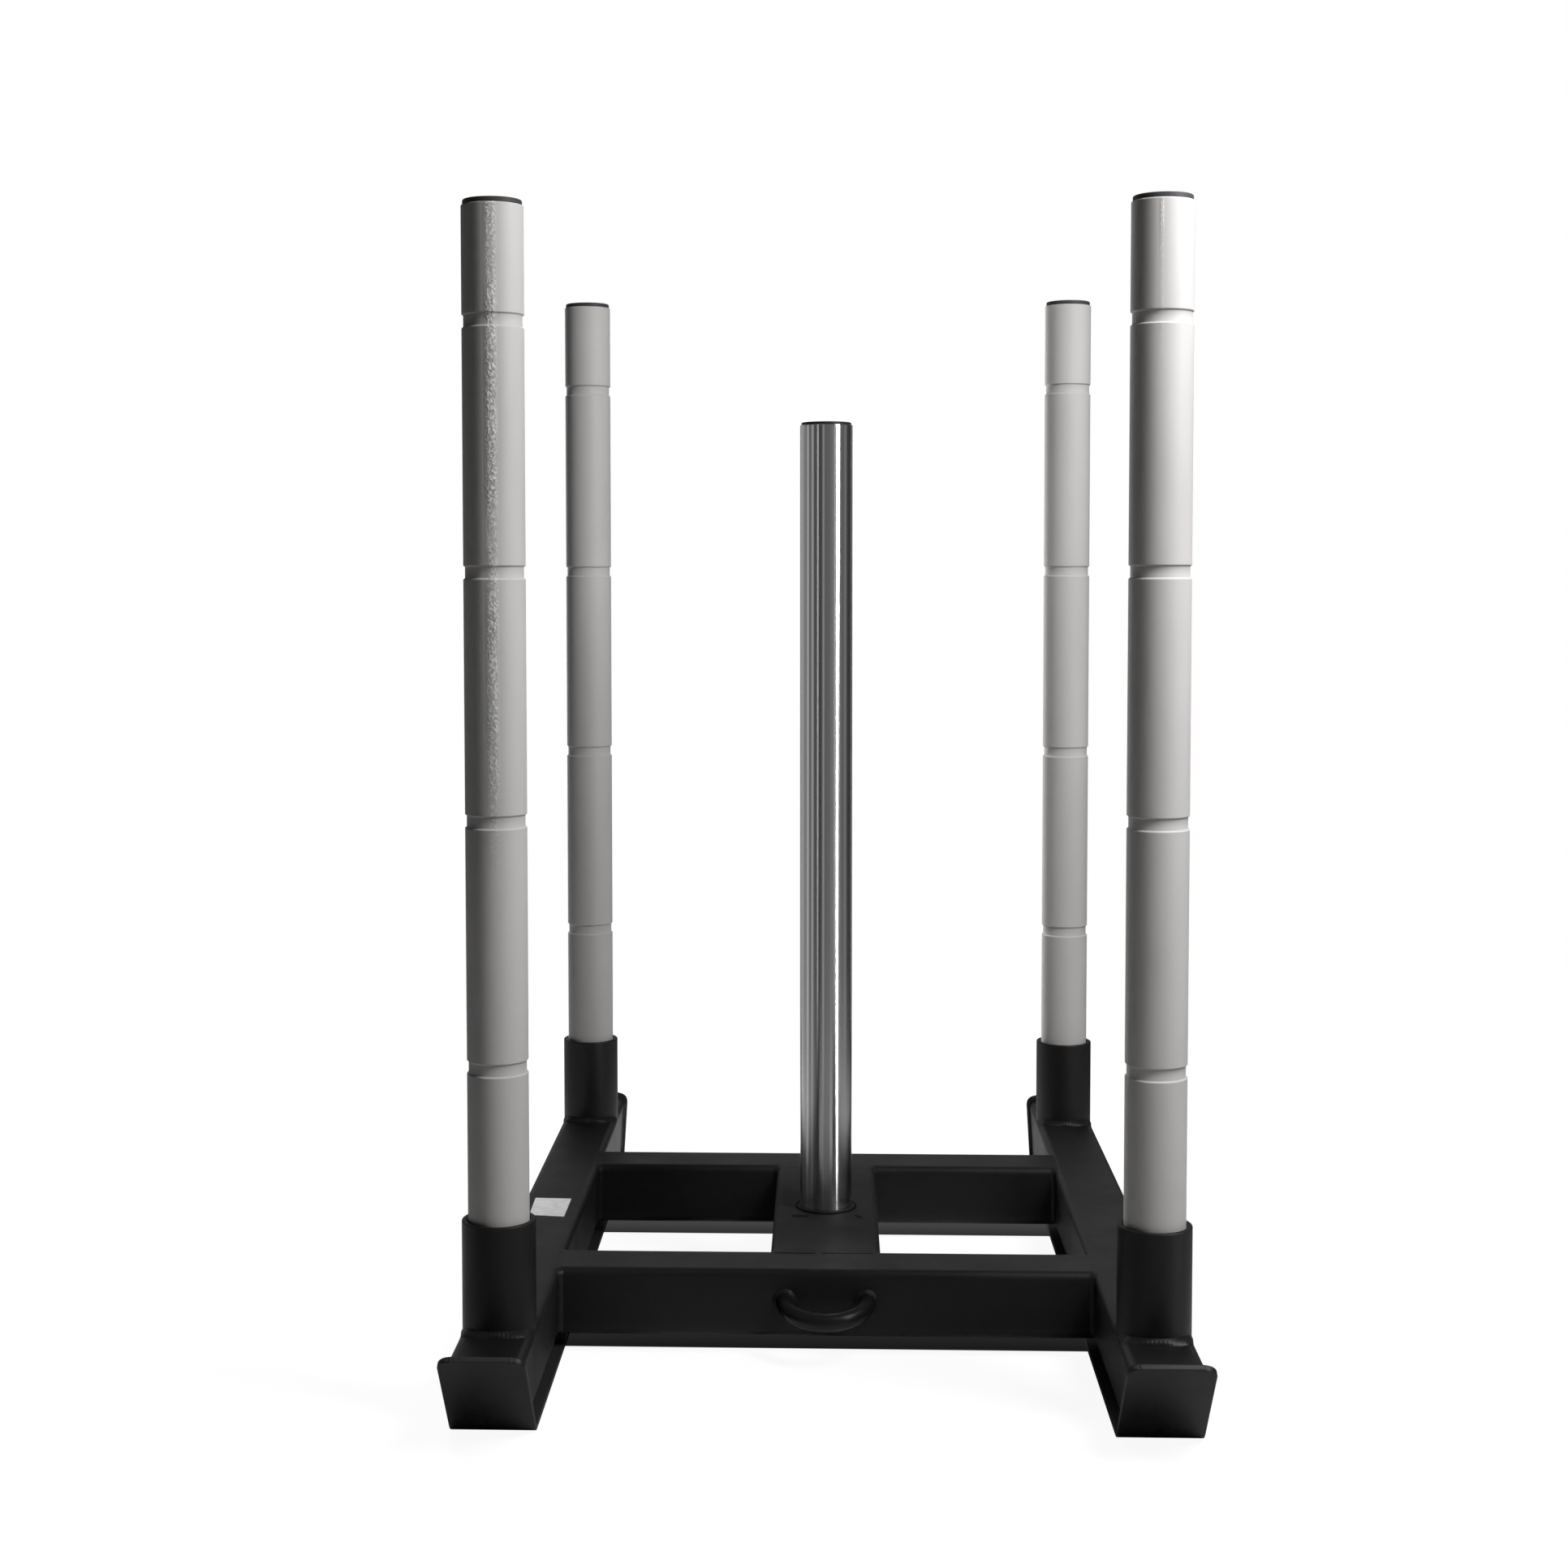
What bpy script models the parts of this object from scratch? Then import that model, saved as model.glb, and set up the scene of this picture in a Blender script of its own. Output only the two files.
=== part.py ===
"""Weight sled with four lift-out push poles, for Blender 4.5.

Two steel skis carry two square tubes. Two cross tubes and a centre beam join
them, a post on the beam holds the weight plates, and four poles stand loose
in round sockets. Lengths are in metres, +Z is up and the sled is pushed along
Y. The origin is on the floor, under the middle of the post.
"""

from math import cos, pi, radians, sin, tan

import bmesh
import bpy

# Frame tube: one square section for the rails and the crossmembers
TUBE_SIDE = 0.060
TUBE_WALL = 0.004
TUBE_CORNER = 0.007
TRACK = 0.532                # between the centre lines of the two rails
CROSS_SPACING = 0.352        # between the centre lines of the two crossmembers

# Centre beam, a wider tube laid flat between the crossmembers
BEAM_WIDTH = 0.100
BEAM_HEIGHT = 0.050
BEAM_WALL = 0.004
BEAM_CORNER = 0.008

# Skis: a flat strip bent up at both ends, with a bar between it and the rail
SKI_WIDTH = 0.070
SKI_THICKNESS = 0.005
SKI_LENGTH = 0.781           # flat sole, between the corners of the two bends
SKI_OFFSET = 0.0015          # the strip stands this much further out than its rail
TIP_ANGLE = radians(51)
TIP_HEIGHT = 0.083
TIP_CORNER = 0.010
BEND_RADIUS = 0.010          # inside of the bend
RUNNER_WIDTH = 0.050
RUNNER_HEIGHT = 0.012
RUNNER_SETBACK = 0.004       # from the runner's end to the start of the bend

# Push poles, their grooves and end caps
POLE_SETBACK = 0.0305        # from the corner of the sole's bend back to the pole's axis
POLE_DIAMETER = 0.050
POLE_WALL = 0.003
POLE_LENGTH = 0.9075
POLE_EDGE = 0.0014           # chamfer round the top of the tube
GROOVE_PITCH = 0.200
GROOVE_DEPTH = 0.0014
GROOVE_FLOOR = 0.0084
GROOVE_SHOULDER = 0.0016     # sloping side of a groove, along the pole
FIRST_GROOVE = 0.093         # from the top of the tube to the first groove
CAP_FLANGE = 0.0032
CAP_RIM = 0.0012             # the flange is this much smaller than the pole, in radius
CAP_ROUND = 0.0016
CAP_PLUG = 0.022
CAP_WALL = 0.0025

# Sockets that hold the poles
SOCKET_CLEARANCE = 0.00065
SOCKET_WALL = 0.0045
SOCKET_HEIGHT = 0.089

# Post for the weight plates
POST_DIAMETER = 0.0483
POST_WALL = 0.0032
POST_LENGTH = 0.754
POST_EDGE = 0.0008           # chamfer round the top of the tube
POST_WELD = 0.005
POST_CAP_HEIGHT = 0.0024
POST_CAP_RIM = 0.0012
POST_CAP_PLUG = 0.016

# Tow eye on the front crossmember
TOW_BAR = 0.016
TOW_RADIUS = 0.036           # to the centre line of the bar
TOW_TILT = radians(27)
TOW_RISE = 0.011             # feet above the crossmember's centre line

# Clearances
SEAT_GAP = 0.0003            # between pieces that touch
PLUG_GAP = 0.0004            # between a cap's plug and its tube

# Smoothness of round shapes
ROUND_SIDES = 32
BAR_SIDES = 12
CORNER_STEPS = 4
BEND_STEPS = 6
TOW_STEPS = 18
SHARP_ANGLE = radians(32)

# Heights and places that follow from the sizes above
RAIL_BASE = SKI_THICKNESS + RUNNER_HEIGHT
RAIL_TOP = RAIL_BASE + TUBE_SIDE
RAIL_X = TRACK / 2
CROSS_Y = CROSS_SPACING / 2
POLE_Y = SKI_LENGTH / 2 - POLE_SETBACK
POLE_FOOT = RAIL_TOP + SEAT_GAP
SOCKET_BORE = POLE_DIAMETER / 2 + SOCKET_CLEARANCE
SOCKET_RADIUS = SOCKET_BORE + SOCKET_WALL

SIDES = {"left": -1, "right": 1}
ENDS = {"front": -1, "rear": 1}

# name: (base colour, roughness, metallic)
FINISHES = {
    "black_coat": ((0.012, 0.012, 0.013), 0.42, 0.0),
    "grey_coat": ((0.42, 0.42, 0.41), 0.45, 0.0),
    "chrome": ((0.75, 0.75, 0.76), 0.10, 1.0),
    "black_plastic": ((0.015, 0.015, 0.016), 0.50, 0.0),
}


def make_material(name):
    """Returns one Principled material from the table of finishes."""
    colour, roughness, metallic = FINISHES[name]
    material = bpy.data.materials.new(name)
    material.use_nodes = True
    shader = material.node_tree.nodes["Principled BSDF"]
    shader.inputs["Base Color"].default_value = (*colour, 1.0)
    shader.inputs["Roughness"].default_value = roughness
    shader.inputs["Metallic"].default_value = metallic
    return material


def add_piece(name, shape, finish, place=(0.0, 0.0, 0.0), smooth=True, parent=None):
    """Turns a bmesh into a named object with its own material."""
    bmesh.ops.recalc_face_normals(shape, faces=shape.faces)
    mesh = bpy.data.meshes.new(name)
    shape.to_mesh(mesh)
    shape.free()
    if smooth:
        mesh.shade_smooth()
        mesh.set_sharp_from_angle(angle=SHARP_ANGLE)
    if finish:
        mesh.materials.append(make_material(finish))
    piece = bpy.data.objects.new(name, mesh)
    piece.location = place
    piece.parent = parent
    bpy.context.scene.collection.objects.link(piece)
    return piece


def rounded_rectangle(width, height, radius):
    """Outline of a rectangle with round corners, anticlockwise round (0, 0)."""
    points = []
    for corner, (sx, sy) in enumerate(((1, 1), (-1, 1), (-1, -1), (1, -1))):
        for step in range(CORNER_STEPS + 1):
            angle = pi / 2 * (corner + step / CORNER_STEPS)
            points.append((sx * (width / 2 - radius) + radius * cos(angle),
                           sy * (height / 2 - radius) + radius * sin(angle)))
    return points


def square_tube(width, height, wall, corner, place):
    """Hollow tube whose ends may be cut at an angle.

    place(u, v, end) gives the 3-D point of section point (u, v) at end 0 or 1.
    """
    shape = bmesh.new()
    inner_corner = max(corner - wall, wall / 4)
    outlines = (rounded_rectangle(width, height, corner),
                rounded_rectangle(width - 2 * wall, height - 2 * wall, inner_corner))
    rings = [[[shape.verts.new(place(u, v, end)) for u, v in outline] for end in (0, 1)]
             for outline in outlines]
    (outer_0, outer_1), (inner_0, inner_1) = rings
    bridge(shape, outer_0, outer_1)
    bridge(shape, inner_0, inner_1)
    bridge(shape, outer_0, inner_0)
    bridge(shape, outer_1, inner_1)
    return shape


def bridge(shape, ring_a, ring_b):
    """Joins two rings of equally many points with a band of quads."""
    count = len(ring_a)
    for i in range(count):
        j = (i + 1) % count
        shape.faces.new((ring_a[i], ring_a[j], ring_b[j], ring_b[i]))


def turned(profile, closed):
    """Spins a profile of (radius, height) points round the Z axis.

    A closed profile makes a ring or a tube, an open one runs from axis to axis.
    """
    shape = bmesh.new()
    points = [shape.verts.new((radius, 0.0, height)) for radius, height in profile]
    pairs = list(zip(points, points[1:]))
    if closed:
        pairs.append((points[-1], points[0]))
    edges = [shape.edges.new(pair) for pair in pairs]
    bmesh.ops.spin(shape, geom=points + edges, cent=(0, 0, 0), axis=(0, 0, 1),
                   angle=2 * pi, steps=ROUND_SIDES)
    bmesh.ops.remove_doubles(shape, verts=shape.verts, dist=1e-6)
    return shape


def tip_face(height, depth):
    """Y of the bent-up tip at a height, on the surface a depth inside the strip."""
    return SKI_LENGTH / 2 + height / tan(TIP_ANGLE) - depth / sin(TIP_ANGLE)


def add_rail(side):
    """Side tube, its two ends mitred to lie along the ski's tips."""
    centre_z = RAIL_BASE + TUBE_SIDE / 2

    def place(u, v, end):
        height = centre_z + v
        reach = tip_face(height, SKI_THICKNESS + SEAT_GAP)
        return (SIDES[side] * RAIL_X + u, (2 * end - 1) * reach, height)

    shape = square_tube(TUBE_SIDE, TUBE_SIDE, TUBE_WALL, TUBE_CORNER, place)
    add_piece(f"{side}_rail", shape, "black_coat")


def add_crossmember(end_name):
    """Cross tube between the inner faces of the rails."""
    reach = RAIL_X - TUBE_SIDE / 2 - SEAT_GAP
    centre_z = RAIL_BASE + TUBE_SIDE / 2

    def place(u, v, end):
        return ((2 * end - 1) * reach, ENDS[end_name] * CROSS_Y + u, centre_z + v)

    shape = square_tube(TUBE_SIDE, TUBE_SIDE, TUBE_WALL, TUBE_CORNER, place)
    add_piece(f"{end_name}_crossmember", shape, "black_coat")


def add_centre_beam():
    """Wide tube between the crossmembers, its top level with theirs."""
    reach = CROSS_Y - TUBE_SIDE / 2 - SEAT_GAP
    centre_z = RAIL_TOP - BEAM_HEIGHT / 2

    def place(u, v, end):
        return (u, (2 * end - 1) * reach, centre_z + v)

    shape = square_tube(BEAM_WIDTH, BEAM_HEIGHT, BEAM_WALL, BEAM_CORNER, place)
    add_piece("centre_beam", shape, "black_coat")


def bend_start():
    """Y where the flat sole ends and the bend of the tip begins."""
    return SKI_LENGTH / 2 - (BEND_RADIUS + SKI_THICKNESS) * tan(TIP_ANGLE / 2)


def ski_stations():
    """Half of the ski from its middle to its tip.

    Each station is (y, z of the sole, slope angle, half width of the strip).
    """
    outer_radius = BEND_RADIUS + SKI_THICKNESS
    half = SKI_WIDTH / 2
    stations = []
    for step in range(BEND_STEPS + 1):
        slope = TIP_ANGLE * step / BEND_STEPS
        stations.append((bend_start() + outer_radius * sin(slope),
                         outer_radius * (1 - cos(slope)), slope, half))
    top = TIP_HEIGHT - SKI_THICKNESS * cos(TIP_ANGLE)
    end_y = SKI_LENGTH / 2 + top / tan(TIP_ANGLE)
    for step in range(CORNER_STEPS + 1):
        turn = pi / 2 * step / CORNER_STEPS
        back = TIP_CORNER * (1 - sin(turn))
        stations.append((end_y - back * cos(TIP_ANGLE), top - back * sin(TIP_ANGLE),
                         TIP_ANGLE, half - TIP_CORNER * (1 - cos(turn))))
    return stations


def add_ski(side):
    """Flat strip lofted along its bent path, with round corners at the tips."""
    shape = bmesh.new()
    x = SIDES[side] * (RAIL_X + SKI_OFFSET)
    rings = []
    half = ski_stations()
    path = [(-1, station) for station in reversed(half)] + [(1, station) for station in half]
    for way, (y, z, slope, width) in path:
        inside_y = way * (y - SKI_THICKNESS * sin(slope))
        inside_z = z + SKI_THICKNESS * cos(slope)
        corners = ((x - width, way * y, z), (x + width, way * y, z),
                   (x + width, inside_y, inside_z), (x - width, inside_y, inside_z))
        rings.append([shape.verts.new(corner) for corner in corners])
    for ring, following in zip(rings, rings[1:]):
        bridge(shape, ring, following)
    shape.faces.new(rings[0])
    shape.faces.new(rings[-1])
    add_piece(f"{side}_ski", shape, "black_coat")


def add_runner(side):
    """Solid bar between the strip and the rail, stopping short of the bends."""
    shape = bmesh.new()
    bmesh.ops.create_cube(shape, size=1.0)
    length = 2 * (bend_start() - RUNNER_SETBACK)
    height = RUNNER_HEIGHT - 2 * SEAT_GAP
    bmesh.ops.scale(shape, verts=shape.verts, vec=(RUNNER_WIDTH, length, height))
    place = (SIDES[side] * RAIL_X, 0.0, SKI_THICKNESS + RUNNER_HEIGHT / 2)
    add_piece(f"{side}_runner", shape, "black_coat", place, smooth=False)


def add_rail_cutter(side):
    """Solid of the rail's outer shape, a seat gap larger all round."""
    shape = bmesh.new()
    side_length = TUBE_SIDE + 2 * SEAT_GAP
    outline = rounded_rectangle(side_length, side_length, TUBE_CORNER + SEAT_GAP)
    rings = []
    reach = POLE_Y + 2 * SOCKET_RADIUS
    for y in (-reach, reach):
        rings.append([shape.verts.new((u, y, v)) for u, v in outline])
    bridge(shape, *rings)
    shape.faces.new(rings[0])
    shape.faces.new(rings[1])
    place = (SIDES[side] * RAIL_X, 0.0, RAIL_BASE + TUBE_SIDE / 2)
    cutter = add_piece(f"{side}_rail_cutter", shape, None, place, smooth=False)
    cutter.hide_render = True
    cutter.display_type = "WIRE"
    return cutter


def add_socket(side, end_name, cutter):
    """Round tube whose foot is coped over the round shoulders of the rail."""
    foot = -TUBE_CORNER
    profile = ((SOCKET_BORE, foot), (SOCKET_RADIUS, foot),
               (SOCKET_RADIUS, SOCKET_HEIGHT - SOCKET_WALL / 4),
               (SOCKET_RADIUS - SOCKET_WALL / 4, SOCKET_HEIGHT),
               (SOCKET_BORE + SOCKET_WALL / 4, SOCKET_HEIGHT),
               (SOCKET_BORE, SOCKET_HEIGHT - SOCKET_WALL / 4))
    place = (SIDES[side] * RAIL_X, ENDS[end_name] * POLE_Y, RAIL_TOP)
    socket = add_piece(f"{end_name}_{side}_socket", turned(profile, True), "black_coat", place)
    cut = socket.modifiers.new("saddle", "BOOLEAN")
    cut.operation = "DIFFERENCE"
    cut.object = cutter


def groove_heights():
    """Heights of the grooves on the stretch that stands out of the socket."""
    heights = []
    height = POLE_LENGTH - FIRST_GROOVE
    while height > SOCKET_HEIGHT + GROOVE_FLOOR:
        heights.append(height)
        height -= GROOVE_PITCH
    return heights


def add_pole(side, end_name, parent):
    """Tube with shallow turned grooves, its origin at the foot on its own axis."""
    radius = POLE_DIAMETER / 2
    bore = radius - POLE_WALL
    floor = radius - GROOVE_DEPTH
    profile = [(bore, POLE_LENGTH), (radius - POLE_EDGE, POLE_LENGTH),
               (radius, POLE_LENGTH - POLE_EDGE)]
    for height in groove_heights():
        upper = height + GROOVE_FLOOR / 2
        lower = height - GROOVE_FLOOR / 2
        profile += [(radius, upper + GROOVE_SHOULDER), (floor, upper),
                    (floor, lower), (radius, lower - GROOVE_SHOULDER)]
    profile += [(radius, 0.0), (bore, 0.0)]
    add_piece(f"{end_name}_{side}_pole", turned(profile, True), "grey_coat", parent=parent)


def add_pole_cap(side, end_name, parent):
    """Push-in cap: a rounded flange on top and a hollow plug in the tube."""
    flange = POLE_DIAMETER / 2 - CAP_RIM
    plug = POLE_DIAMETER / 2 - POLE_WALL - PLUG_GAP
    top = CAP_FLANGE + SEAT_GAP
    profile = [(0.0, top)]
    for step in range(CORNER_STEPS + 1):
        turn = pi / 2 * step / CORNER_STEPS
        profile.append((flange - CAP_ROUND * (1 - sin(turn)), top - CAP_ROUND * (1 - cos(turn))))
    profile += [(flange, SEAT_GAP), (plug, SEAT_GAP), (plug, -CAP_PLUG),
                (plug - CAP_WALL, -CAP_PLUG), (plug - CAP_WALL, 0.0), (0.0, 0.0)]
    add_piece(f"{end_name}_{side}_pole_cap", turned(profile, False), "black_plastic",
              (0.0, 0.0, POLE_LENGTH), parent=parent)


def add_weight_post():
    """Chromed tube that the plates slide over."""
    radius = POST_DIAMETER / 2
    bore = radius - POST_WALL
    profile = ((bore, 0.0), (radius, 0.0), (radius, POST_LENGTH - POST_EDGE),
               (radius - POST_EDGE, POST_LENGTH), (bore, POST_LENGTH))
    add_piece("weight_post", turned(profile, True), "chrome", (0.0, 0.0, RAIL_TOP + SEAT_GAP))


def add_post_weld():
    """Ring of weld round the foot of the post, a quarter round in section."""
    inner = POST_DIAMETER / 2 + SEAT_GAP
    profile = [(inner, 0.0)]
    for step in range(CORNER_STEPS + 1):
        turn = pi / 2 * step / CORNER_STEPS
        profile.append((inner + POST_WELD * cos(turn), POST_WELD * sin(turn)))
    add_piece("post_weld", turned(profile, True), "black_coat", (0.0, 0.0, RAIL_TOP + SEAT_GAP))


def add_post_cap():
    """Low plastic cap that closes the top of the post."""
    rim = POST_DIAMETER / 2 - POST_CAP_RIM
    plug = POST_DIAMETER / 2 - POST_WALL - PLUG_GAP
    top = SEAT_GAP + POST_CAP_HEIGHT
    edge = POST_CAP_HEIGHT / 2
    profile = ((0.0, top), (rim - edge, top), (rim, top - edge), (rim, SEAT_GAP), (plug, SEAT_GAP),
               (plug, -POST_CAP_PLUG), (plug - CAP_WALL, -POST_CAP_PLUG), (plug - CAP_WALL, 0.0),
               (0.0, 0.0))
    place = (0.0, 0.0, RAIL_TOP + SEAT_GAP + POST_LENGTH)
    add_piece("post_cap", turned(profile, False), "black_plastic", place)


def add_tow_eye():
    """Half ring of round bar, both feet cut flat against the crossmember."""
    shape = bmesh.new()
    face_y = -(CROSS_Y + TUBE_SIDE / 2 + SEAT_GAP)
    forward = (-cos(TOW_TILT), -sin(TOW_TILT))
    across = (sin(TOW_TILT), -cos(TOW_TILT))
    rings = []
    for step in range(TOW_STEPS + 1):
        turn = pi * step / TOW_STEPS
        ring = []
        for side in range(BAR_SIDES):
            angle = 2 * pi * side / BAR_SIDES
            reach = TOW_RADIUS + TOW_BAR / 2 * cos(angle)
            lift = TOW_BAR / 2 * sin(angle)
            ahead = reach * sin(turn)
            if step in (0, TOW_STEPS):
                ahead = lift * across[0] / cos(TOW_TILT)
            ring.append(shape.verts.new((reach * cos(turn), ahead * forward[0] + lift * across[0],
                                         ahead * forward[1] + lift * across[1])))
        rings.append(ring)
    for ring, following in zip(rings, rings[1:]):
        bridge(shape, ring, following)
    shape.faces.new(rings[0])
    shape.faces.new(rings[-1])
    place = (0.0, face_y, RAIL_BASE + TUBE_SIDE / 2 + TOW_RISE)
    add_piece("tow_eye", shape, "black_coat", place)


def add_pole_axis(side, end_name):
    """Empty on the line along which one pole lifts out."""
    axis = bpy.data.objects.new(f"{end_name}_{side}_pole_axis", None)
    axis.location = (SIDES[side] * RAIL_X, ENDS[end_name] * POLE_Y, POLE_FOOT)
    bpy.context.scene.collection.objects.link(axis)
    return axis


def build_sled():
    """Removes what the scene holds and makes every piece of the sled."""
    for old in list(bpy.data.objects):
        bpy.data.objects.remove(old, do_unlink=True)
    for side in SIDES:
        add_rail(side)
        add_ski(side)
        add_runner(side)
        cutter = add_rail_cutter(side)
        for end_name in ENDS:
            add_socket(side, end_name, cutter)
            axis = add_pole_axis(side, end_name)
            add_pole(side, end_name, axis)
            add_pole_cap(side, end_name, axis)
    for end_name in ENDS:
        add_crossmember(end_name)
    add_centre_beam()
    add_weight_post()
    add_post_weld()
    add_post_cap()
    add_tow_eye()


build_sled()
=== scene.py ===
# %% [markdown]
# A weight sled is a steel frame on two skis. It is pushed by four loose poles, and it carries weight
# plates on a chromed post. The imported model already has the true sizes, so this lesson only dresses
# it: every piece gets a finer skin of its own, worked out with numpy, and a finish made of shader
# nodes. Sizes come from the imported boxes, and the few that they can't give are named values.

import bmesh
import bpy
import numpy as np
from mathutils import Matrix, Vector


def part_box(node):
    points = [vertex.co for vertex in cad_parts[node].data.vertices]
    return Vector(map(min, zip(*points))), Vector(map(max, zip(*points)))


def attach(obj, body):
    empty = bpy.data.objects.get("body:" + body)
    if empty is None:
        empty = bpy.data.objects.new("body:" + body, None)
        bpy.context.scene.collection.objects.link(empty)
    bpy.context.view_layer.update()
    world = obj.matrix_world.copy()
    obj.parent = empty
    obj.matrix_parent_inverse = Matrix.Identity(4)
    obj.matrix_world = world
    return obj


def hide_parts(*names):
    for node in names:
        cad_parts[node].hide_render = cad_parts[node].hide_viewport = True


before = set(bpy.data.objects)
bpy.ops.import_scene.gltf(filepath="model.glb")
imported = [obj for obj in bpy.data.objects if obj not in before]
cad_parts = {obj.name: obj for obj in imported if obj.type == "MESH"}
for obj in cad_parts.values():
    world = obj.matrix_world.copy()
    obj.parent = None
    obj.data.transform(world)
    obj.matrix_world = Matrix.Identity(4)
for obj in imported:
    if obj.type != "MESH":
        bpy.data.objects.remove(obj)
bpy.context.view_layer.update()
SIDES = {"left": -1, "right": 1}
ENDS = {"front": -1, "rear": 1}

# %% [markdown]
# The camera comes first. It could be placed by eye, but straight edges and known lengths in the
# photograph settle it: the numbers below come from a least squares fit of the sled's own edges. The
# view is almost level, from about 0.7 m above the floor, so the tops of the tubes show as narrow
# strips. The lens shift keeps the picture's framing.

# %% Place the camera
PHOTO_SIDE = 1932                      # pixels, both ways
SENSOR = 36.0                          # millimetres
CAMERA_PLACE = (0.0029, -2.1912, 0.6940)
CAMERA_YAW = 0.03447                   # radians to the left of the sled's long axis
CAMERA_PITCH = 0.05196                 # radians below level
CAMERA_ROLL = 0.00103
FOCAL_PIXELS = 2816.5
CENTRE_PIXEL = (924.7, 848.2)          # where the lens axis meets the picture


def camera_axes(yaw, pitch, roll):
    """Unit vectors to the picture's right, down and forward, as rows.

    Forward is a turn by yaw, then a dip by pitch. Right is level. Down is forward times right, and
    a roll turns right and down in their own plane.
    """
    forward = np.array([-np.sin(yaw) * np.cos(pitch), np.cos(yaw) * np.cos(pitch), -np.sin(pitch)])
    right = np.array([np.cos(yaw), np.sin(yaw), 0.0])
    down = np.cross(forward, right)
    turn = np.array([[np.cos(roll), np.sin(roll)], [-np.sin(roll), np.cos(roll)]])
    return np.vstack([turn @ np.stack([right, down]), forward])


def set_turned(thing, place, right, up, back):
    """Sets a camera or a lamp at a place. Its own axes are right, up and back, as it looks ahead."""
    turn = Matrix(np.stack([right, up, back], axis=1).tolist())
    thing.matrix_world = Matrix.Translation(place) @ turn.to_4x4()
    bpy.context.scene.collection.objects.link(thing)


right, down, forward = camera_axes(CAMERA_YAW, CAMERA_PITCH, CAMERA_ROLL)
camera_data = bpy.data.cameras.new("camera")
camera_data.sensor_width = SENSOR
camera_data.lens = FOCAL_PIXELS / PHOTO_SIDE * SENSOR
camera_data.shift_x = 0.5 - CENTRE_PIXEL[0] / PHOTO_SIDE
camera_data.shift_y = CENTRE_PIXEL[1] / PHOTO_SIDE - 0.5
camera = bpy.data.objects.new("camera", camera_data)
set_turned(camera, CAMERA_PLACE, right, -down, -forward)
bpy.context.scene.camera = camera
print("lens", round(camera_data.lens, 2), "mm, shift", round(camera_data.shift_x, 4),
      round(camera_data.shift_y, 4))

# %% [markdown]
# Most pieces of the sled are skins over a grid: one number runs along the piece and another runs
# round it. Blender's primitives could be stretched into shape, but a grid of points that numpy
# works out at once keeps the formula in sight, and one helper turns any such grid into a mesh.
# Each quad joins a point with the next ones in its row and its column.

# %% A grid of points becomes a mesh
SHARP_ANGLE = np.radians(40)
WELD_DISTANCE = 1e-6                   # points closer than this are one point


def grid_quads(rows, columns, wrap_rows):
    """Point numbers of the quads: row i and column j join row i+1 and column j+1.

    The last column joins the first one, and so does the last row where the rows are wrapped.
    """
    row = np.arange(rows if wrap_rows else rows - 1)[:, None]
    column = np.arange(columns)[None, :]
    next_row = (row + 1) % rows
    next_column = (column + 1) % columns
    corners = (row * columns + column, row * columns + next_column,
               next_row * columns + next_column, next_row * columns + column)
    return np.stack(np.broadcast_arrays(*corners), axis=-1).reshape(-1, 4)


def add_skin(name, points, finish, body="root", nodes=(), wrap_rows=False, close_ends=False):
    """Makes a piece from points of shape (rows, columns, 3) and gives it its body and finish."""
    rows, columns = points.shape[:2]
    faces = grid_quads(rows, columns, wrap_rows).tolist()
    if close_ends:
        last = (rows - 1) * columns
        faces += [list(range(columns)), list(range(last, last + columns))]
    mesh = bpy.data.meshes.new(name)
    mesh.from_pydata(points.reshape(-1, 3).tolist(), [], faces)
    shape = bmesh.new()
    shape.from_mesh(mesh)
    bmesh.ops.remove_doubles(shape, verts=shape.verts, dist=WELD_DISTANCE)
    bmesh.ops.dissolve_degenerate(shape, edges=shape.edges, dist=WELD_DISTANCE)
    bmesh.ops.recalc_face_normals(shape, faces=shape.faces)
    shape.to_mesh(mesh)
    shape.free()
    mesh.shade_smooth()
    mesh.set_sharp_from_angle(angle=SHARP_ANGLE)
    mesh.materials.append(finish)
    piece = bpy.data.objects.new(name, mesh)
    bpy.context.scene.collection.objects.link(piece)
    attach(piece, body)
    if nodes:
        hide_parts(*nodes)
    return piece


# %% [markdown]
# A finish is a small network of shader nodes. Painting image textures would need files, so every
# grain and streak here is computed from a noise on Object coordinates: these are metres in
# the piece's own space, and they stay put when the piece moves. One helper adds a node to the tree
# of the sockets that it is given and joins them, which keeps each finish short enough to read.

# %% Helpers for a finish


def add_node(kind, inputs, tree=None, **settings):
    """Adds a node. An input's value is a socket to join or a constant to set.

    The node goes into the tree that its sockets belong to. Without a socket the tree is given.
    """
    sockets = {key: value for key, value in inputs.items()
               if isinstance(value, bpy.types.NodeSocket)}
    if tree is None:
        tree = next(iter(sockets.values())).id_data
    node = tree.nodes.new(kind)
    for name, value in settings.items():
        setattr(node, name, value)
    for key, value in inputs.items():
        if key in sockets:
            tree.links.new(value, node.inputs[key])
        else:
            node.inputs[key].default_value = value
    return node


def start_finish(name, slot, colour, roughness, metallic=0.0, specular=0.5, anisotropy=0.0):
    """A Principled material and its Object coordinates."""
    material = bpy.data.materials.new(name)
    material["slot"] = slot
    material.use_nodes = True
    tree = material.node_tree
    constants = {"Base Color": (*colour, 1.0), "Roughness": roughness, "Metallic": metallic,
                 "Specular IOR Level": specular, "Anisotropic": anisotropy}
    for key, value in constants.items():
        tree.nodes["Principled BSDF"].inputs[key].default_value = value
    return material, add_node("ShaderNodeTexCoord", {}, tree).outputs["Object"]


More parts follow.
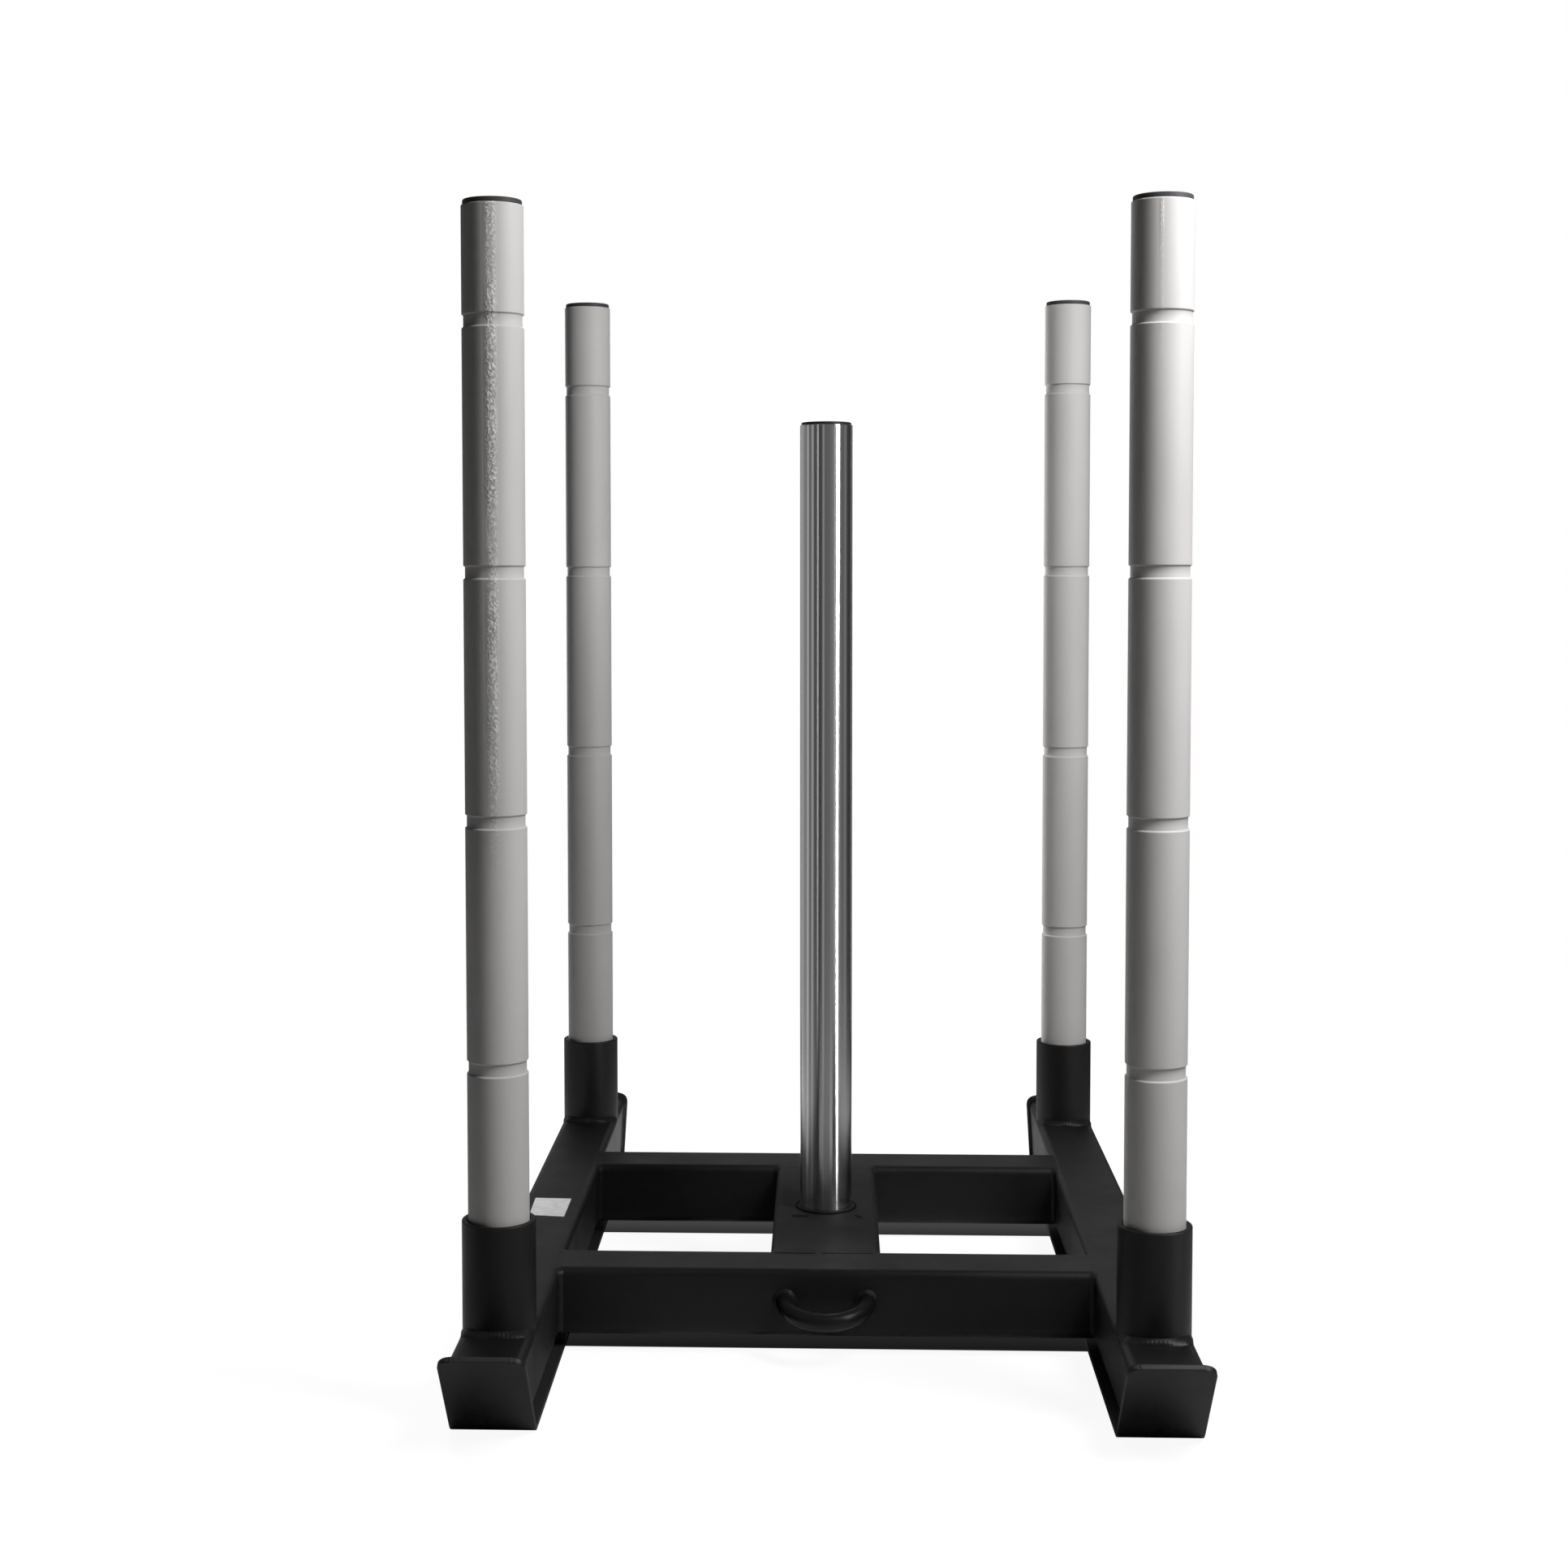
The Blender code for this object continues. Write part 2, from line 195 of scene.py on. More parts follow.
def finish_off(material, colour, roughness, normal, **others):
    """Joins a finish's sockets to its shader, and hands the finish back."""
    tree = material.node_tree
    sockets = {"Base Color": colour, "Roughness": roughness, "Normal": normal, **others}
    for key, socket in sockets.items():
        tree.links.new(socket, tree.nodes["Principled BSDF"].inputs[key])
    return material


# %% [markdown]
# The helpers that follow are the words of this little language: a noise, a map from one range to
# another, a mix of colours, arithmetic, a bump, and a mask made of ramps. A ramp is a value with
# the place where it is 0 and the place where it is 1, and a mask multiplies a few of them.

# %% Helpers for patterns and masks


def noise(place, scale, detail, upright=1.0):
    """Noise from 0 to 1 with about scale grains a metre, drawn out along Z where upright is small."""
    mapped = add_node("ShaderNodeMapping", {"Vector": place, "Scale": (1.0, 1.0, upright)})
    grain = add_node("ShaderNodeTexNoise",
                     {"Vector": mapped.outputs["Vector"], "Scale": scale, "Detail": detail})
    return grain.outputs["Fac"]


def spread(value, low, high, to_low=0.0, to_high=1.0):
    """Maps the range low to high onto to_low to to_high, held at both ends."""
    mapped = add_node("ShaderNodeMapRange", {"Value": value, "From Min": low, "From Max": high,
                                             "To Min": to_low, "To Max": to_high})
    return mapped.outputs["Result"]


def tint(factor, first, second):
    """Goes from the first colour to the second, each a triple or a socket, as the factor grows."""
    sides = [side if isinstance(side, bpy.types.NodeSocket) else (*side, 1.0)
             for side in (first, second)]
    mixed = add_node("ShaderNodeMix", {"Factor": factor, "A": sides[0], "B": sides[1]},
                     data_type="RGBA")
    return mixed.outputs["Result"]


def combine(operation, first, *others):
    """Joins values by one arithmetic step after another. A lone value gets one step by itself."""
    for other in others or (0.0,):
        first = add_node("ShaderNodeMath", {0: first, 1: other}, operation=operation).outputs[0]
    return first


def ramp_product(strength, *ramps):
    """The strength times each ramp: a value, where it is 0, and where it is 1."""
    for value, zero, one in ramps:
        strength = combine("MULTIPLY", spread(value, zero, one), strength)
    return strength


def bump(height, depth, under=None):
    """Tilts the surface by a height from 0 to 1 that stands for a depth in metres."""
    inputs = {"Height": height, "Distance": depth}
    if under is not None:
        inputs["Normal"] = under
    return add_node("ShaderNodeBump", inputs).outputs["Normal"]


def axes(place):
    """The place's X, Y and Z."""
    return add_node("ShaderNodeSeparateXYZ", {"Vector": place}).outputs[:]


def level_distance(place, x=0.0, y=0.0):
    """How far the place is, as seen from above, from the upright line through (x, y)."""
    flat = add_node("ShaderNodeVectorMath", {0: place, 1: (1.0, 1.0, 0.0)}, operation="MULTIPLY")
    return add_node("ShaderNodeVectorMath", {0: flat.outputs["Vector"], 1: (x, y, 0.0)},
                    operation="DISTANCE").outputs["Value"]


# %% [markdown]
# The frame's coat is black powder: plastic dust that is melted onto the steel. It dries with a fine
# skin like an orange's and a faint slow unevenness from the sprayer's passes. A glossy black with
# a texture image would look printed, so two noises of different size tilt the surface, and a third
# one changes how sharp the reflection is, as hands and rags leave it. Towards Z = 0 the colour gets a
# little paler: painted light, standing for the floor's bounce in the low gaps. Round the post, where
# a weld heated the steel and plates knock against it, the coat is duller: the roughness grows towards
# the Z axis. The tow eye has the same coat, but the strap's hook has rubbed it smooth, so its
# roughness is lower. The cut edges of the ski tips are paler, and that is a painted highlight.

# %% Black powder coat
BLACK = (0.0060, 0.0060, 0.0063)
BLACK_WORN = (0.0090, 0.0090, 0.0094)
PEEL_GRAINS = 620.0                    # a metre
PEEL_DEPTH = 0.00006
SAG_GRAINS = 60.0
SAG_DEPTH = 0.00012
# The colour below is painted light: towards the floor the coat turns paler, standing for the floor's
# bounce in the low gaps.
PAINTED_BOUNCE = (0.019, 0.019, 0.0185)
PAINTED_BOUNCE_TOP = 0.030                       # metres above the floor
DULL_NEAR, DULL_FAR = 0.080, 0.170     # metres from the post's axis
DULL_ROUGH = 0.22                      # added to the roughness there
# The colour below is a painted highlight on the cut edges of the ski tips, and the values after it
# place those edges.
EDGE_HIGHLIGHT_PAINT = (0.030, 0.030, 0.030)
EDGE_SOFT = 0.0005
EDGE_DEEP, EDGE_BACK = 0.0031, 0.0041  # the end's cut edge, down from the top and back from the end
EDGE_SIDE = 0.0008                     # the side's cut edge, in from the side
TIP_START, TIP_FULL = 0.052, 0.045     # the bent part, back from the end
SKI_LOW, SKI_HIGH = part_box("right_ski")
SKI_X = (SKI_LOW.x + SKI_HIGH.x) / 2
SKI_WIDTH = SKI_HIGH.x - SKI_LOW.x


def tip_edge_highlight(place):
    """1 on the cut edges of the ski tips, where a highlight is painted, 0 elsewhere: at the end, and
    along the sides of the bend.

    A side's edge is where the distance from the strip's middle line is nearly half its width.
    """
    x, y, z = axes(place)
    along = combine("ABSOLUTE", y)
    top = SKI_HIGH.z - EDGE_DEEP
    last = SKI_HIGH.y - EDGE_BACK
    half = SKI_WIDTH / 2 - EDGE_SIDE
    off = combine("ABSOLUTE", combine("SUBTRACT", combine("ABSOLUTE", x), SKI_X))
    end = ramp_product(1.0, (z, top - EDGE_SOFT, top), (along, last - EDGE_SOFT, last))
    side = ramp_product(1.0, (off, half - EDGE_SOFT, half),
                        (along, SKI_HIGH.y - TIP_START, SKI_HIGH.y - TIP_FULL))
    return combine("MAXIMUM", end, side)


def make_black_coat(name, smooth, rough, dull_rough=0.0):
    """Powder coat: fine peel, slow sag, painted bounce light near the floor, painted highlights on
    the tips' edges, and a roughness that drifts from smooth to rough.
    """
    material, place = start_finish(name, "black_coat", BLACK, smooth, specular=0.35)
    drift = noise(place, 14.0, 4.0)
    worn = tint(spread(drift, 0.35, 0.75), BLACK, BLACK_WORN)
    # Paler towards the floor: painted bounce light.
    painted_bounce = spread(axes(place)[2], PAINTED_BOUNCE_TOP, 0.4 * PAINTED_BOUNCE_TOP)
    # The tips' cut edges get a painted highlight.
    colour = tint(tip_edge_highlight(place), tint(painted_bounce, worn, PAINTED_BOUNCE), EDGE_HIGHLIGHT_PAINT)
    dull = spread(level_distance(place), DULL_FAR, DULL_NEAR, 0.0, dull_rough)
    roughness = combine("ADD", spread(drift, 0.3, 0.7, smooth, rough), dull)
    sag = bump(noise(place, SAG_GRAINS, 1.0), SAG_DEPTH)
    peel = bump(noise(place, PEEL_GRAINS, 2.0), PEEL_DEPTH, under=sag)
    return finish_off(material, colour, roughness, peel)


black_coat = make_black_coat("black_powder_coat", smooth=0.42, rough=0.54, dull_rough=DULL_ROUGH)
rubbed_coat = make_black_coat("rubbed_powder_coat", smooth=0.25, rough=0.32)
print("finishes:", black_coat.name, rubbed_coat.name)

# %% [markdown]
# The poles are coated in a warm light grey. From close up the coat shows fine lines along the tube
# from its drawing, and on the two front poles a narrow rough line with a hard sparkle: the tube's
# weld seam under the paint, its sparkle a painted glint of bright specks. It is broad on the left
# pole and hardly a scratch on the right one. The seam is a mask, a band round one place of the
# tube's edge, that lets a deeper noise through.

# %% Light grey pole coat
GREY = (0.498, 0.488, 0.481)
GREY_DARK = (0.438, 0.429, 0.424)
LINE_DEPTH = 0.00002
GREY_PEEL_DEPTH = 0.00003
SEAM_GRAINS = 560.0
SEAM_DEPTH = 0.0008
# The colour below is a painted glint: the bright specks of the seam's sparkle.
SEAM_GLINT_PAINT = (0.80, 0.79, 0.78)
SEAM_DARK = (0.27, 0.26, 0.255)


def seam_mask(place, seam):
    """Up to a strength on a narrow upright line, 0 elsewhere, from the distance to (x, y).

    It fades below a height, and a slow noise lets it come and go along the pole.
    """
    x, y, width, strength, fade_low, fade_high = seam
    line = ramp_product(strength, (level_distance(place, x, y), width, 0.4 * width),
                        (axes(place)[2], fade_low, fade_high))
    patchy = spread(noise(place, 9.0, 3.0), 0.35, 0.6, 0.15, 1.0)
    return combine("MULTIPLY", line, patchy)


def make_grey_coat(name, seam=None):
    """Satin grey coat with lines along Z, slow clouds, and the seam where one is given."""
    material, place = start_finish(name, "grey_coat", GREY, 0.56, specular=0.35)
    lines = noise(place, 420.0, 3.0, upright=0.012)
    cloud = noise(place, 16.0, 4.0, upright=0.35)
    colour = tint(spread(cloud, 0.35, 0.75), GREY, GREY_DARK)
    roughness = spread(lines, 0.3, 0.7, 0.50, 0.62)
    normal = bump(lines, LINE_DEPTH)
    normal = bump(noise(place, PEEL_GRAINS, 2.0), GREY_PEEL_DEPTH, under=normal)
    if seam:
        rough = noise(place, SEAM_GRAINS, 3.0, upright=0.8)
        mask = seam_mask(place, seam)
        normal = bump(combine("MULTIPLY", rough, mask), SEAM_DEPTH, under=normal)
        # The seam's bright specks are painted glints of the lamp.
        low = combine("MULTIPLY", spread(rough, 0.48, 0.38, 0.0, 0.6), mask)
        high = combine("MULTIPLY", spread(rough, 0.52, 0.62, 0.0, 0.8), mask)
        colour = tint(high, tint(low, colour, SEAM_DARK), SEAM_GLINT_PAINT)
    return finish_off(material, colour, roughness, normal)


# %% [markdown]
# The post is ground and chromed steel. Real chrome is a metal, so it has no colour of its own: it
# shows the room. The grinding belt ran round the tube, and its fine marks smear every reflection
# upwards and downwards, which turns a lamp into one long upright streak. That is anisotropy: the
# shader is rough along its tangent, set here to the tube's length, and sharp across it. Faint
# upright lines in the colour stand for the tube's drawing marks.

# %% Chrome with a long streak
CHROME = (0.80, 0.795, 0.805)
CHROME_DULL = (0.71, 0.705, 0.72)
CHROME_ROUGH = 0.17
CHROME_LINE_DEPTH = 0.000002


def make_chrome():
    """Chrome: rough along Z, sharp round it, with upright lines and faint spots that dull it."""
    material, place = start_finish("ground_chrome", "chrome", CHROME, CHROME_ROUGH,
                                   metallic=1.0, anisotropy=0.97)
    lines = noise(place, 300.0, 3.0, upright=0.002)
    spots = noise(place, 90.0, 5.0, upright=0.25)
    colour = tint(spread(lines, 0.42, 0.66), CHROME, CHROME_DULL)
    roughness = spread(spots, 0.35, 0.8, CHROME_ROUGH - 0.01, CHROME_ROUGH + 0.03)
    length = add_node("ShaderNodeCombineXYZ", {"Z": 1.0}, material.node_tree).outputs["Vector"]
    normal = bump(lines, CHROME_LINE_DEPTH)
    return finish_off(material, colour, roughness, normal, Tangent=length)


chrome = make_chrome()
print("finish:", chrome.name)

# %% [markdown]
# The end caps are moulded black plastic. Moulded plastic is duller than powder coat and has an even
# fine grain from the mould, so one small noise is enough for its surface, and a slow one keeps the
# sheen from being the same all over. The pole caps have greyed in the light more than the post's.

# %% Moulded black plastic
PLASTIC = (0.011, 0.0115, 0.014)
PLASTIC_LIGHT = (0.016, 0.0165, 0.020)
PLASTIC_GREYED = (0.038, 0.039, 0.043)
PLASTIC_GREYED_LIGHT = (0.050, 0.051, 0.055)
MOULD_GRAINS = 1500.0
MOULD_DEPTH = 0.00003


def make_plastic(name, colour, light):
    """Matt moulded plastic with a fine even grain, between a colour and a lighter one."""
    material, place = start_finish(name, "black_plastic", colour, 0.55, specular=0.25)
    slow = noise(place, 70.0, 3.0)
    grain = bump(noise(place, MOULD_GRAINS, 2.0), MOULD_DEPTH)
    return finish_off(material, tint(slow, colour, light),
                      spread(slow, 0.3, 0.7, 0.50, 0.62), grain)


plastic = make_plastic("moulded_plastic", PLASTIC, PLASTIC_LIGHT)
greyed_plastic = make_plastic("greyed_plastic", PLASTIC_GREYED, PLASTIC_GREYED_LIGHT)
print("finishes:", plastic.name, greyed_plastic.name)

# %% [markdown]
# The frame is square tube, rolled from strip, so its corners are round. Such a tube could be a cube
# with a Bevel, but then the flat sides would shade as if they were swollen. Here the outline has
# a quarter circle at each corner and one extra point just outside each end of it: the flat sides
# keep flat shading, and only the corner turns.

# %% Square tube
TUBE_CORNER = 0.007
TUBE_WALL = 0.004
CORNER_STEPS = 10
FLAT_HOLD = 0.0003                     # the extra point lies this far along the flat side


def rounded_outline(width, height, radius):
    """Outline of a box with round corners, as points (u, v), anticlockwise.

    A corner point is the corner's centre plus the radius times (cos, sin) of its angle. The first
    and the last one of each corner are then moved along their tangent, onto the flat sides.
    """
    steps = np.concatenate([[0.0], np.linspace(0.0, 1.0, CORNER_STEPS + 1), [1.0]])
    slide = np.zeros_like(steps)
    slide[0], slide[-1] = -FLAT_HOLD, FLAT_HOLD
    angle = (np.arange(4)[:, None] + steps[None, :]) * np.pi / 2
    signs = np.array([(1, 1), (-1, 1), (-1, -1), (1, -1)])
    centres = signs * (width / 2 - radius, height / 2 - radius)
    around = np.stack([np.cos(angle), np.sin(angle)], axis=-1)
    tangent = np.stack([-np.sin(angle), np.cos(angle)], axis=-1)
    points = centres[:, None, :] + radius * around + slide[None, :, None] * tangent
    return points.reshape(-1, 2)


def tube_skin(width, height, corner, place):
    """Closed skin of a hollow tube: out along the outside, and back along the bore.

    place(outline, way) sets an outline's points into space at the end where way is -1 or 1.
    """
    outer = rounded_outline(width, height, corner)
    inner = rounded_outline(width - 2 * TUBE_WALL, height - 2 * TUBE_WALL,
                            max(corner - TUBE_WALL, FLAT_HOLD))
    return np.stack([place(outer, -1), place(outer, 1), place(inner, 1), place(inner, -1)])


# %% [markdown]
# Each rail lies along a ski, and its ends are sawn at the slope of the ski's tip, so that they lean
# flat against it. The saw cut is one line of the formula: the end's Y grows with the height. The
# crossmembers and the beam are plain lengths of tube, along X and along Y.

# %% Rails, crossmembers and centre beam
TIP_ANGLE = np.radians(51)
SKI_THICKNESS = 0.005
SEAT_GAP = 0.0003
BEAM_CORNER = 0.008
rail_low, rail_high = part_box("right_rail")
TIP_HEIGHT = SKI_HIGH.z
SOLE_HALF = SKI_HIGH.y - (TIP_HEIGHT - SKI_THICKNESS * np.cos(TIP_ANGLE)) / np.tan(TIP_ANGLE)
TUBE_SIDE = rail_high.z - rail_low.z
RAIL_X = (rail_low.x + rail_high.x) / 2
RAIL_TOP = rail_high.z
TUBE_MIDDLE = (rail_low.z + rail_high.z) / 2


def tip_face(height, depth):
    """Y of the tip at a height, a depth inside its outer face: the face leans by the tip's angle."""
    return SOLE_HALF + height / np.tan(TIP_ANGLE) - depth / np.sin(TIP_ANGLE)


def rail_place(side):
    """Sets an outline across the rail, each point's Y on the plane of the leaning tip."""
    def place(outline, way):
        height = TUBE_MIDDLE + outline[:, 1]
        reach = tip_face(height, SKI_THICKNESS + SEAT_GAP)
        return np.stack([side * RAIL_X + outline[:, 0], way * reach, height], axis=1)
    return place


def straight_place(axis, reach, middle, height):
    """Sets an outline square to axis 0, X, or 1, Y, at plus and minus reach."""
    def place(outline, way):
        columns = [middle + outline[:, 0], height + outline[:, 1]]
        columns.insert(axis, np.full(len(outline), way * reach))
        return np.stack(columns, axis=1)
    return place


for side, sign in SIDES.items():
    skin = tube_skin(TUBE_SIDE, TUBE_SIDE, TUBE_CORNER, rail_place(sign))
    add_skin(f"{side}_rail_tube", skin, black_coat, nodes=[f"{side}_rail"], wrap_rows=True)

cross_y = {}
for end in ENDS:
    low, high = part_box(f"{end}_crossmember")
    cross_y[end] = (low.y + high.y) / 2
    skin = tube_skin(TUBE_SIDE, TUBE_SIDE, TUBE_CORNER,
                     straight_place(0, high.x, cross_y[end], TUBE_MIDDLE))
    add_skin(f"{end}_crossmember_tube", skin, black_coat, nodes=[f"{end}_crossmember"],
             wrap_rows=True)

beam_low, beam_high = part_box("centre_beam")
BEAM_WIDTH = beam_high.x - beam_low.x
BEAM_HEIGHT = beam_high.z - beam_low.z
BEAM_MIDDLE = (beam_low.z + beam_high.z) / 2
skin = tube_skin(BEAM_WIDTH, BEAM_HEIGHT, BEAM_CORNER,
                 straight_place(1, beam_high.y, 0.0, BEAM_MIDDLE))
add_skin("centre_beam_tube", skin, black_coat, nodes=["centre_beam"], wrap_rows=True)
print("rails at X", round(RAIL_X, 4), "sole half length", round(SOLE_HALF, 4))

# %% [markdown]
# A ski is one strip of 5 mm steel, bent up at both ends in a press. Its path is a line, an arc and
# a line, and the two numbers of the skin are the way along this path and the way round the strip's
# edge. Near each tip the strip narrows along a quarter circle, which is how its corners get round,
# and the last 0.9 mm also gets thinner, so the cut edge catches a line of light.

# %% Skis
BEND_INSIDE = 0.010
TIP_CORNER = 0.010
STRIP_EDGE = 0.0009
BEND_STEPS = 24
BEND_SUPPORT = 0.02                    # a row this far before the bend keeps the sole flat
CORNER_SUPPORT = 0.01                  # and one this far before the round corners
bend_radius = BEND_INSIDE + SKI_THICKNESS
flat_half = SOLE_HALF - bend_radius * np.tan(TIP_ANGLE / 2)
bend_length = bend_radius * TIP_ANGLE
tip_length = ((TIP_HEIGHT - SKI_THICKNESS * np.cos(TIP_ANGLE))
              - bend_radius * (1 - np.cos(TIP_ANGLE))) / np.sin(TIP_ANGLE)
half_length = flat_half + bend_length + tip_length


def quarter_circle(size, steps):
    """A quarter circle's points: size sin(a) along, and size (1 - cos(a)) lost across."""
    turn = np.linspace(0.0, np.pi / 2, steps)
    return size * np.sin(turn), size * (1 - np.cos(turn))


def ski_stations():
    """Places along half of the strip, with what its edges lose there in width and in thickness.

    They are the sole, the bend, two supports, the round corner and the thin edge. At the corner
    the loss is in width alone, and at the edge it is in both.
    """
    after = half_length - STRIP_EDGE - TIP_CORNER
    bend = flat_half + bend_length * np.linspace(0.0, 1.0, BEND_STEPS + 1)
    plain = np.concatenate([[0.0, flat_half - BEND_SUPPORT, flat_half - FLAT_HOLD], bend,
                            [flat_half + bend_length + FLAT_HOLD, after - CORNER_SUPPORT]])
    corner, corner_loss = quarter_circle(TIP_CORNER, 2 * CORNER_STEPS)
    edge, edge_loss = (part[1:] for part in quarter_circle(STRIP_EDGE, 5))
    along = np.concatenate([plain, after + corner, half_length - STRIP_EDGE + edge])
    width_loss = np.concatenate([0 * plain, corner_loss, TIP_CORNER + edge_loss])
    depth_loss = np.concatenate([0 * plain, 0 * corner, edge_loss])
    return along, width_loss, depth_loss


def ski_skin(x):
    """Carries the strip's rounded section along line, arc and line, mirrored about the middle.

    The slope is the way past the bend's start over the radius, held between 0 and the tip's angle.
    The sole is at min(way, flat) + radius sin(slope) + rest cos(slope), and a section point stands
    off the sole along the normal (-sin, cos) by its height in the strip.
    """
    along, width_loss, depth_loss = (np.concatenate([part[::-1], part[1:]])
                                     for part in ski_stations())
    way = np.concatenate([-np.ones(len(along) // 2), np.ones(len(along) - len(along) // 2)])
    slope = np.clip((along - flat_half) / bend_radius, 0.0, TIP_ANGLE)
    rest = np.clip(along - flat_half - bend_length, 0.0, None)
    sole_y = np.minimum(along, flat_half) + bend_radius * np.sin(slope) + rest * np.cos(slope)
    sole_z = bend_radius * (1 - np.cos(slope)) + rest * np.sin(slope)
    section = rounded_outline(SKI_WIDTH, SKI_THICKNESS, STRIP_EDGE)
    across = section[None, :, 0] - np.sign(section[None, :, 0]) * width_loss[:, None]
    thin = 1 - 2 * depth_loss[:, None] / SKI_THICKNESS
    height = SKI_THICKNESS / 2 + section[None, :, 1] * thin
    y = way[:, None] * (sole_y[:, None] - height * np.sin(slope)[:, None])
    z = sole_z[:, None] + height * np.cos(slope)[:, None]
    return np.stack([x + across, y, z], axis=-1)


for side, sign in SIDES.items():
    add_skin(f"{side}_ski_strip", ski_skin(sign * SKI_X), black_coat, nodes=[f"{side}_ski"],
             close_ends=True)
print("ski strip", round(2 * half_length, 3), "m long before bending")

# %% [markdown]
# Between each ski and its rail lies a plain flat bar, the runner. Only its dark side shows, in the
# gap, so it could stay a box. It still gets the small round of rolled steel on all its edges.

# %% Runners
RUNNER_EDGE = 0.0008
runner_low, runner_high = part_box("right_runner")


def runner_skin(x):
    """A bar of rounded section whose ends draw in over their last 0.8 mm by a quarter circle."""
    way, loss = quarter_circle(RUNNER_EDGE, 4)
    along = runner_high.y - RUNNER_EDGE + way
    along = np.concatenate([-along[::-1], along])[:, None]
    loss = np.concatenate([loss[::-1], loss])[:, None, None]
    section = rounded_outline(runner_high.x - runner_low.x, runner_high.z - runner_low.z,
                              RUNNER_EDGE)
    u, v = np.moveaxis(section - np.sign(section) * loss, -1, 0)
    middle = (runner_low.z + runner_high.z) / 2
    return np.stack([x + u, np.broadcast_to(along, u.shape), middle + v], axis=-1)


for side, sign in SIDES.items():
    skin = runner_skin(sign * (runner_low.x + runner_high.x) / 2)
    add_skin(f"{side}_runner_bar", skin, black_coat, nodes=[f"{side}_runner"], close_ends=True)
print("runner", round(2 * runner_high.y, 3), "m long")

# %% [markdown]
# Poles, caps, post and sockets are round. Each could be a cylinder with loop cuts, but a turner
# thinks in profiles: a line of (radius, height) points that spins about the axis. The skin's two
# numbers are the angle and the place on the profile. A groove is a dip in the radius with soft
# shoulders: the radius less the depth times a smooth step of the distance from the groove's middle.

# %% Turned pieces
ROUND_SIDES = 96


def round_angles(count):
    """Angles of points that are spaced evenly round a circle."""
    return np.arange(count) * 2 * np.pi / count


def turned_skin(profile, centre):
    """Spins (radius, height) points about the upright line through the centre (x, y)."""
    angle = round_angles(ROUND_SIDES)
    radius, height = np.asarray(profile, float).T[:, :, None]
    x = centre[0] + radius * np.cos(angle)
    y = centre[1] + radius * np.sin(angle)
    return np.stack([x, y, np.broadcast_to(height, x.shape)], axis=-1)


def smooth_step(value):
    """0 below 0, 1 above 1, and 3 v^2 - 2 v^3 between."""
    held = np.clip(value, 0.0, 1.0)
    return held * held * (3 - 2 * held)


def round_edge(radius, height, size, out=1, up=1, steps=5):
    """Quarter circle of points over an edge at (radius, height), from its side to its top.

    out is -1 at the edge of a bore, and up is -1 at a lower edge.
    """
    rise, loss = quarter_circle(size, steps)
    return np.stack([radius - out * loss, height - up * (size - rise)], axis=1)


# %% [markdown]
# Each pole is a 50 mm tube with four shallow grooves, where hands find their height. The grooves on
# the real pole have a crisp upper lip in shade and a lower one that shines, so the shoulders are
# only 1.6 mm long, and they are sampled closely enough to stay crisp.

# %% Push poles
POLE_WALL = 0.003
POLE_EDGE = 0.0010
CAP_DEEPER = 0.0010                    # the tube ends this much lower, for a thicker flange
FIRST_GROOVE = 0.092                   # from the top of the tube
GROOVE_PITCH = 0.200
GROOVE_COUNT = 4
GROOVE_DEPTH = 0.0014
GROOVE_FLOOR = 0.0084
GROOVE_SHOULDER = 0.0016
SEAMS = {                              # radians to the right, width, strength, and fade heights
    "left": (0.058, 0.0058, 1.0, 0.42, 0.62), "right": (-0.18, 0.0020, 0.5, 0.85, 0.90)}


def pole_profile(radius, foot, top):
    """Outside from foot to top with its grooves, over the round lip, and down the bore."""
    middles = top - FIRST_GROOVE - GROOVE_PITCH * np.arange(GROOVE_COUNT)
    reach = GROOVE_FLOOR / 2 + GROOVE_SHOULDER
    near = np.linspace(GROOVE_FLOOR / 2, reach, 7)
    spots = np.concatenate([[-reach - FLAT_HOLD], -near[::-1], near, [reach + FLAT_HOLD]])
    heights = np.sort((middles[:, None] + spots[None, :]).ravel())
    away = np.abs(heights[:, None] - middles[None, :]).min(axis=1)
    dip = 1 - smooth_step((away - GROOVE_FLOOR / 2) / GROOVE_SHOULDER)
    outside = np.stack([radius - GROOVE_DEPTH * dip, heights], axis=1)
    held = [(radius, top - POLE_EDGE - FLAT_HOLD)]
    bore = radius - POLE_WALL
    return np.concatenate([round_edge(radius, foot, POLE_EDGE, up=-1)[::-1], outside, held,
                           round_edge(radius, top, POLE_EDGE), [(bore, top), (bore, foot)]])


pole_places = {}
for side in SIDES:
    for end in ENDS:
        low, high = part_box(f"{end}_{side}_pole")
        x, y = (low.x + high.x) / 2, (low.y + high.y) / 2
        pole_places[end, side] = (x, y)
        pole_radius = (high.x - low.x) / 2
        seam_turn, *shape = SEAMS[side]
        seam = (x + pole_radius * np.sin(seam_turn), y - pole_radius * np.cos(seam_turn), *shape)
        finish = make_grey_coat(f"grey_coat_{end}_{side}", seam if end == "front" else None)
        pole_top = high.z - CAP_DEEPER
        profile = pole_profile(pole_radius, low.z, pole_top)
        add_skin(f"{end}_{side}_pole_tube", turned_skin(profile, (x, y)), finish,
                 body=f"{end}_{side}_pole", nodes=[f"{end}_{side}_pole"], wrap_rows=True)
print("pole", round(pole_top - low.z, 4), "m long,", len(profile), "points in its profile")

# %% [markdown]
# The caps are pressed into the tubes. What shows is a thin flange with a round rim, a little
# smaller than the tube, and a plug that goes down inside it. The top is very slightly domed,
# because moulded plastic sinks at the edge, and the dome is what lifts its highlight off the rim.

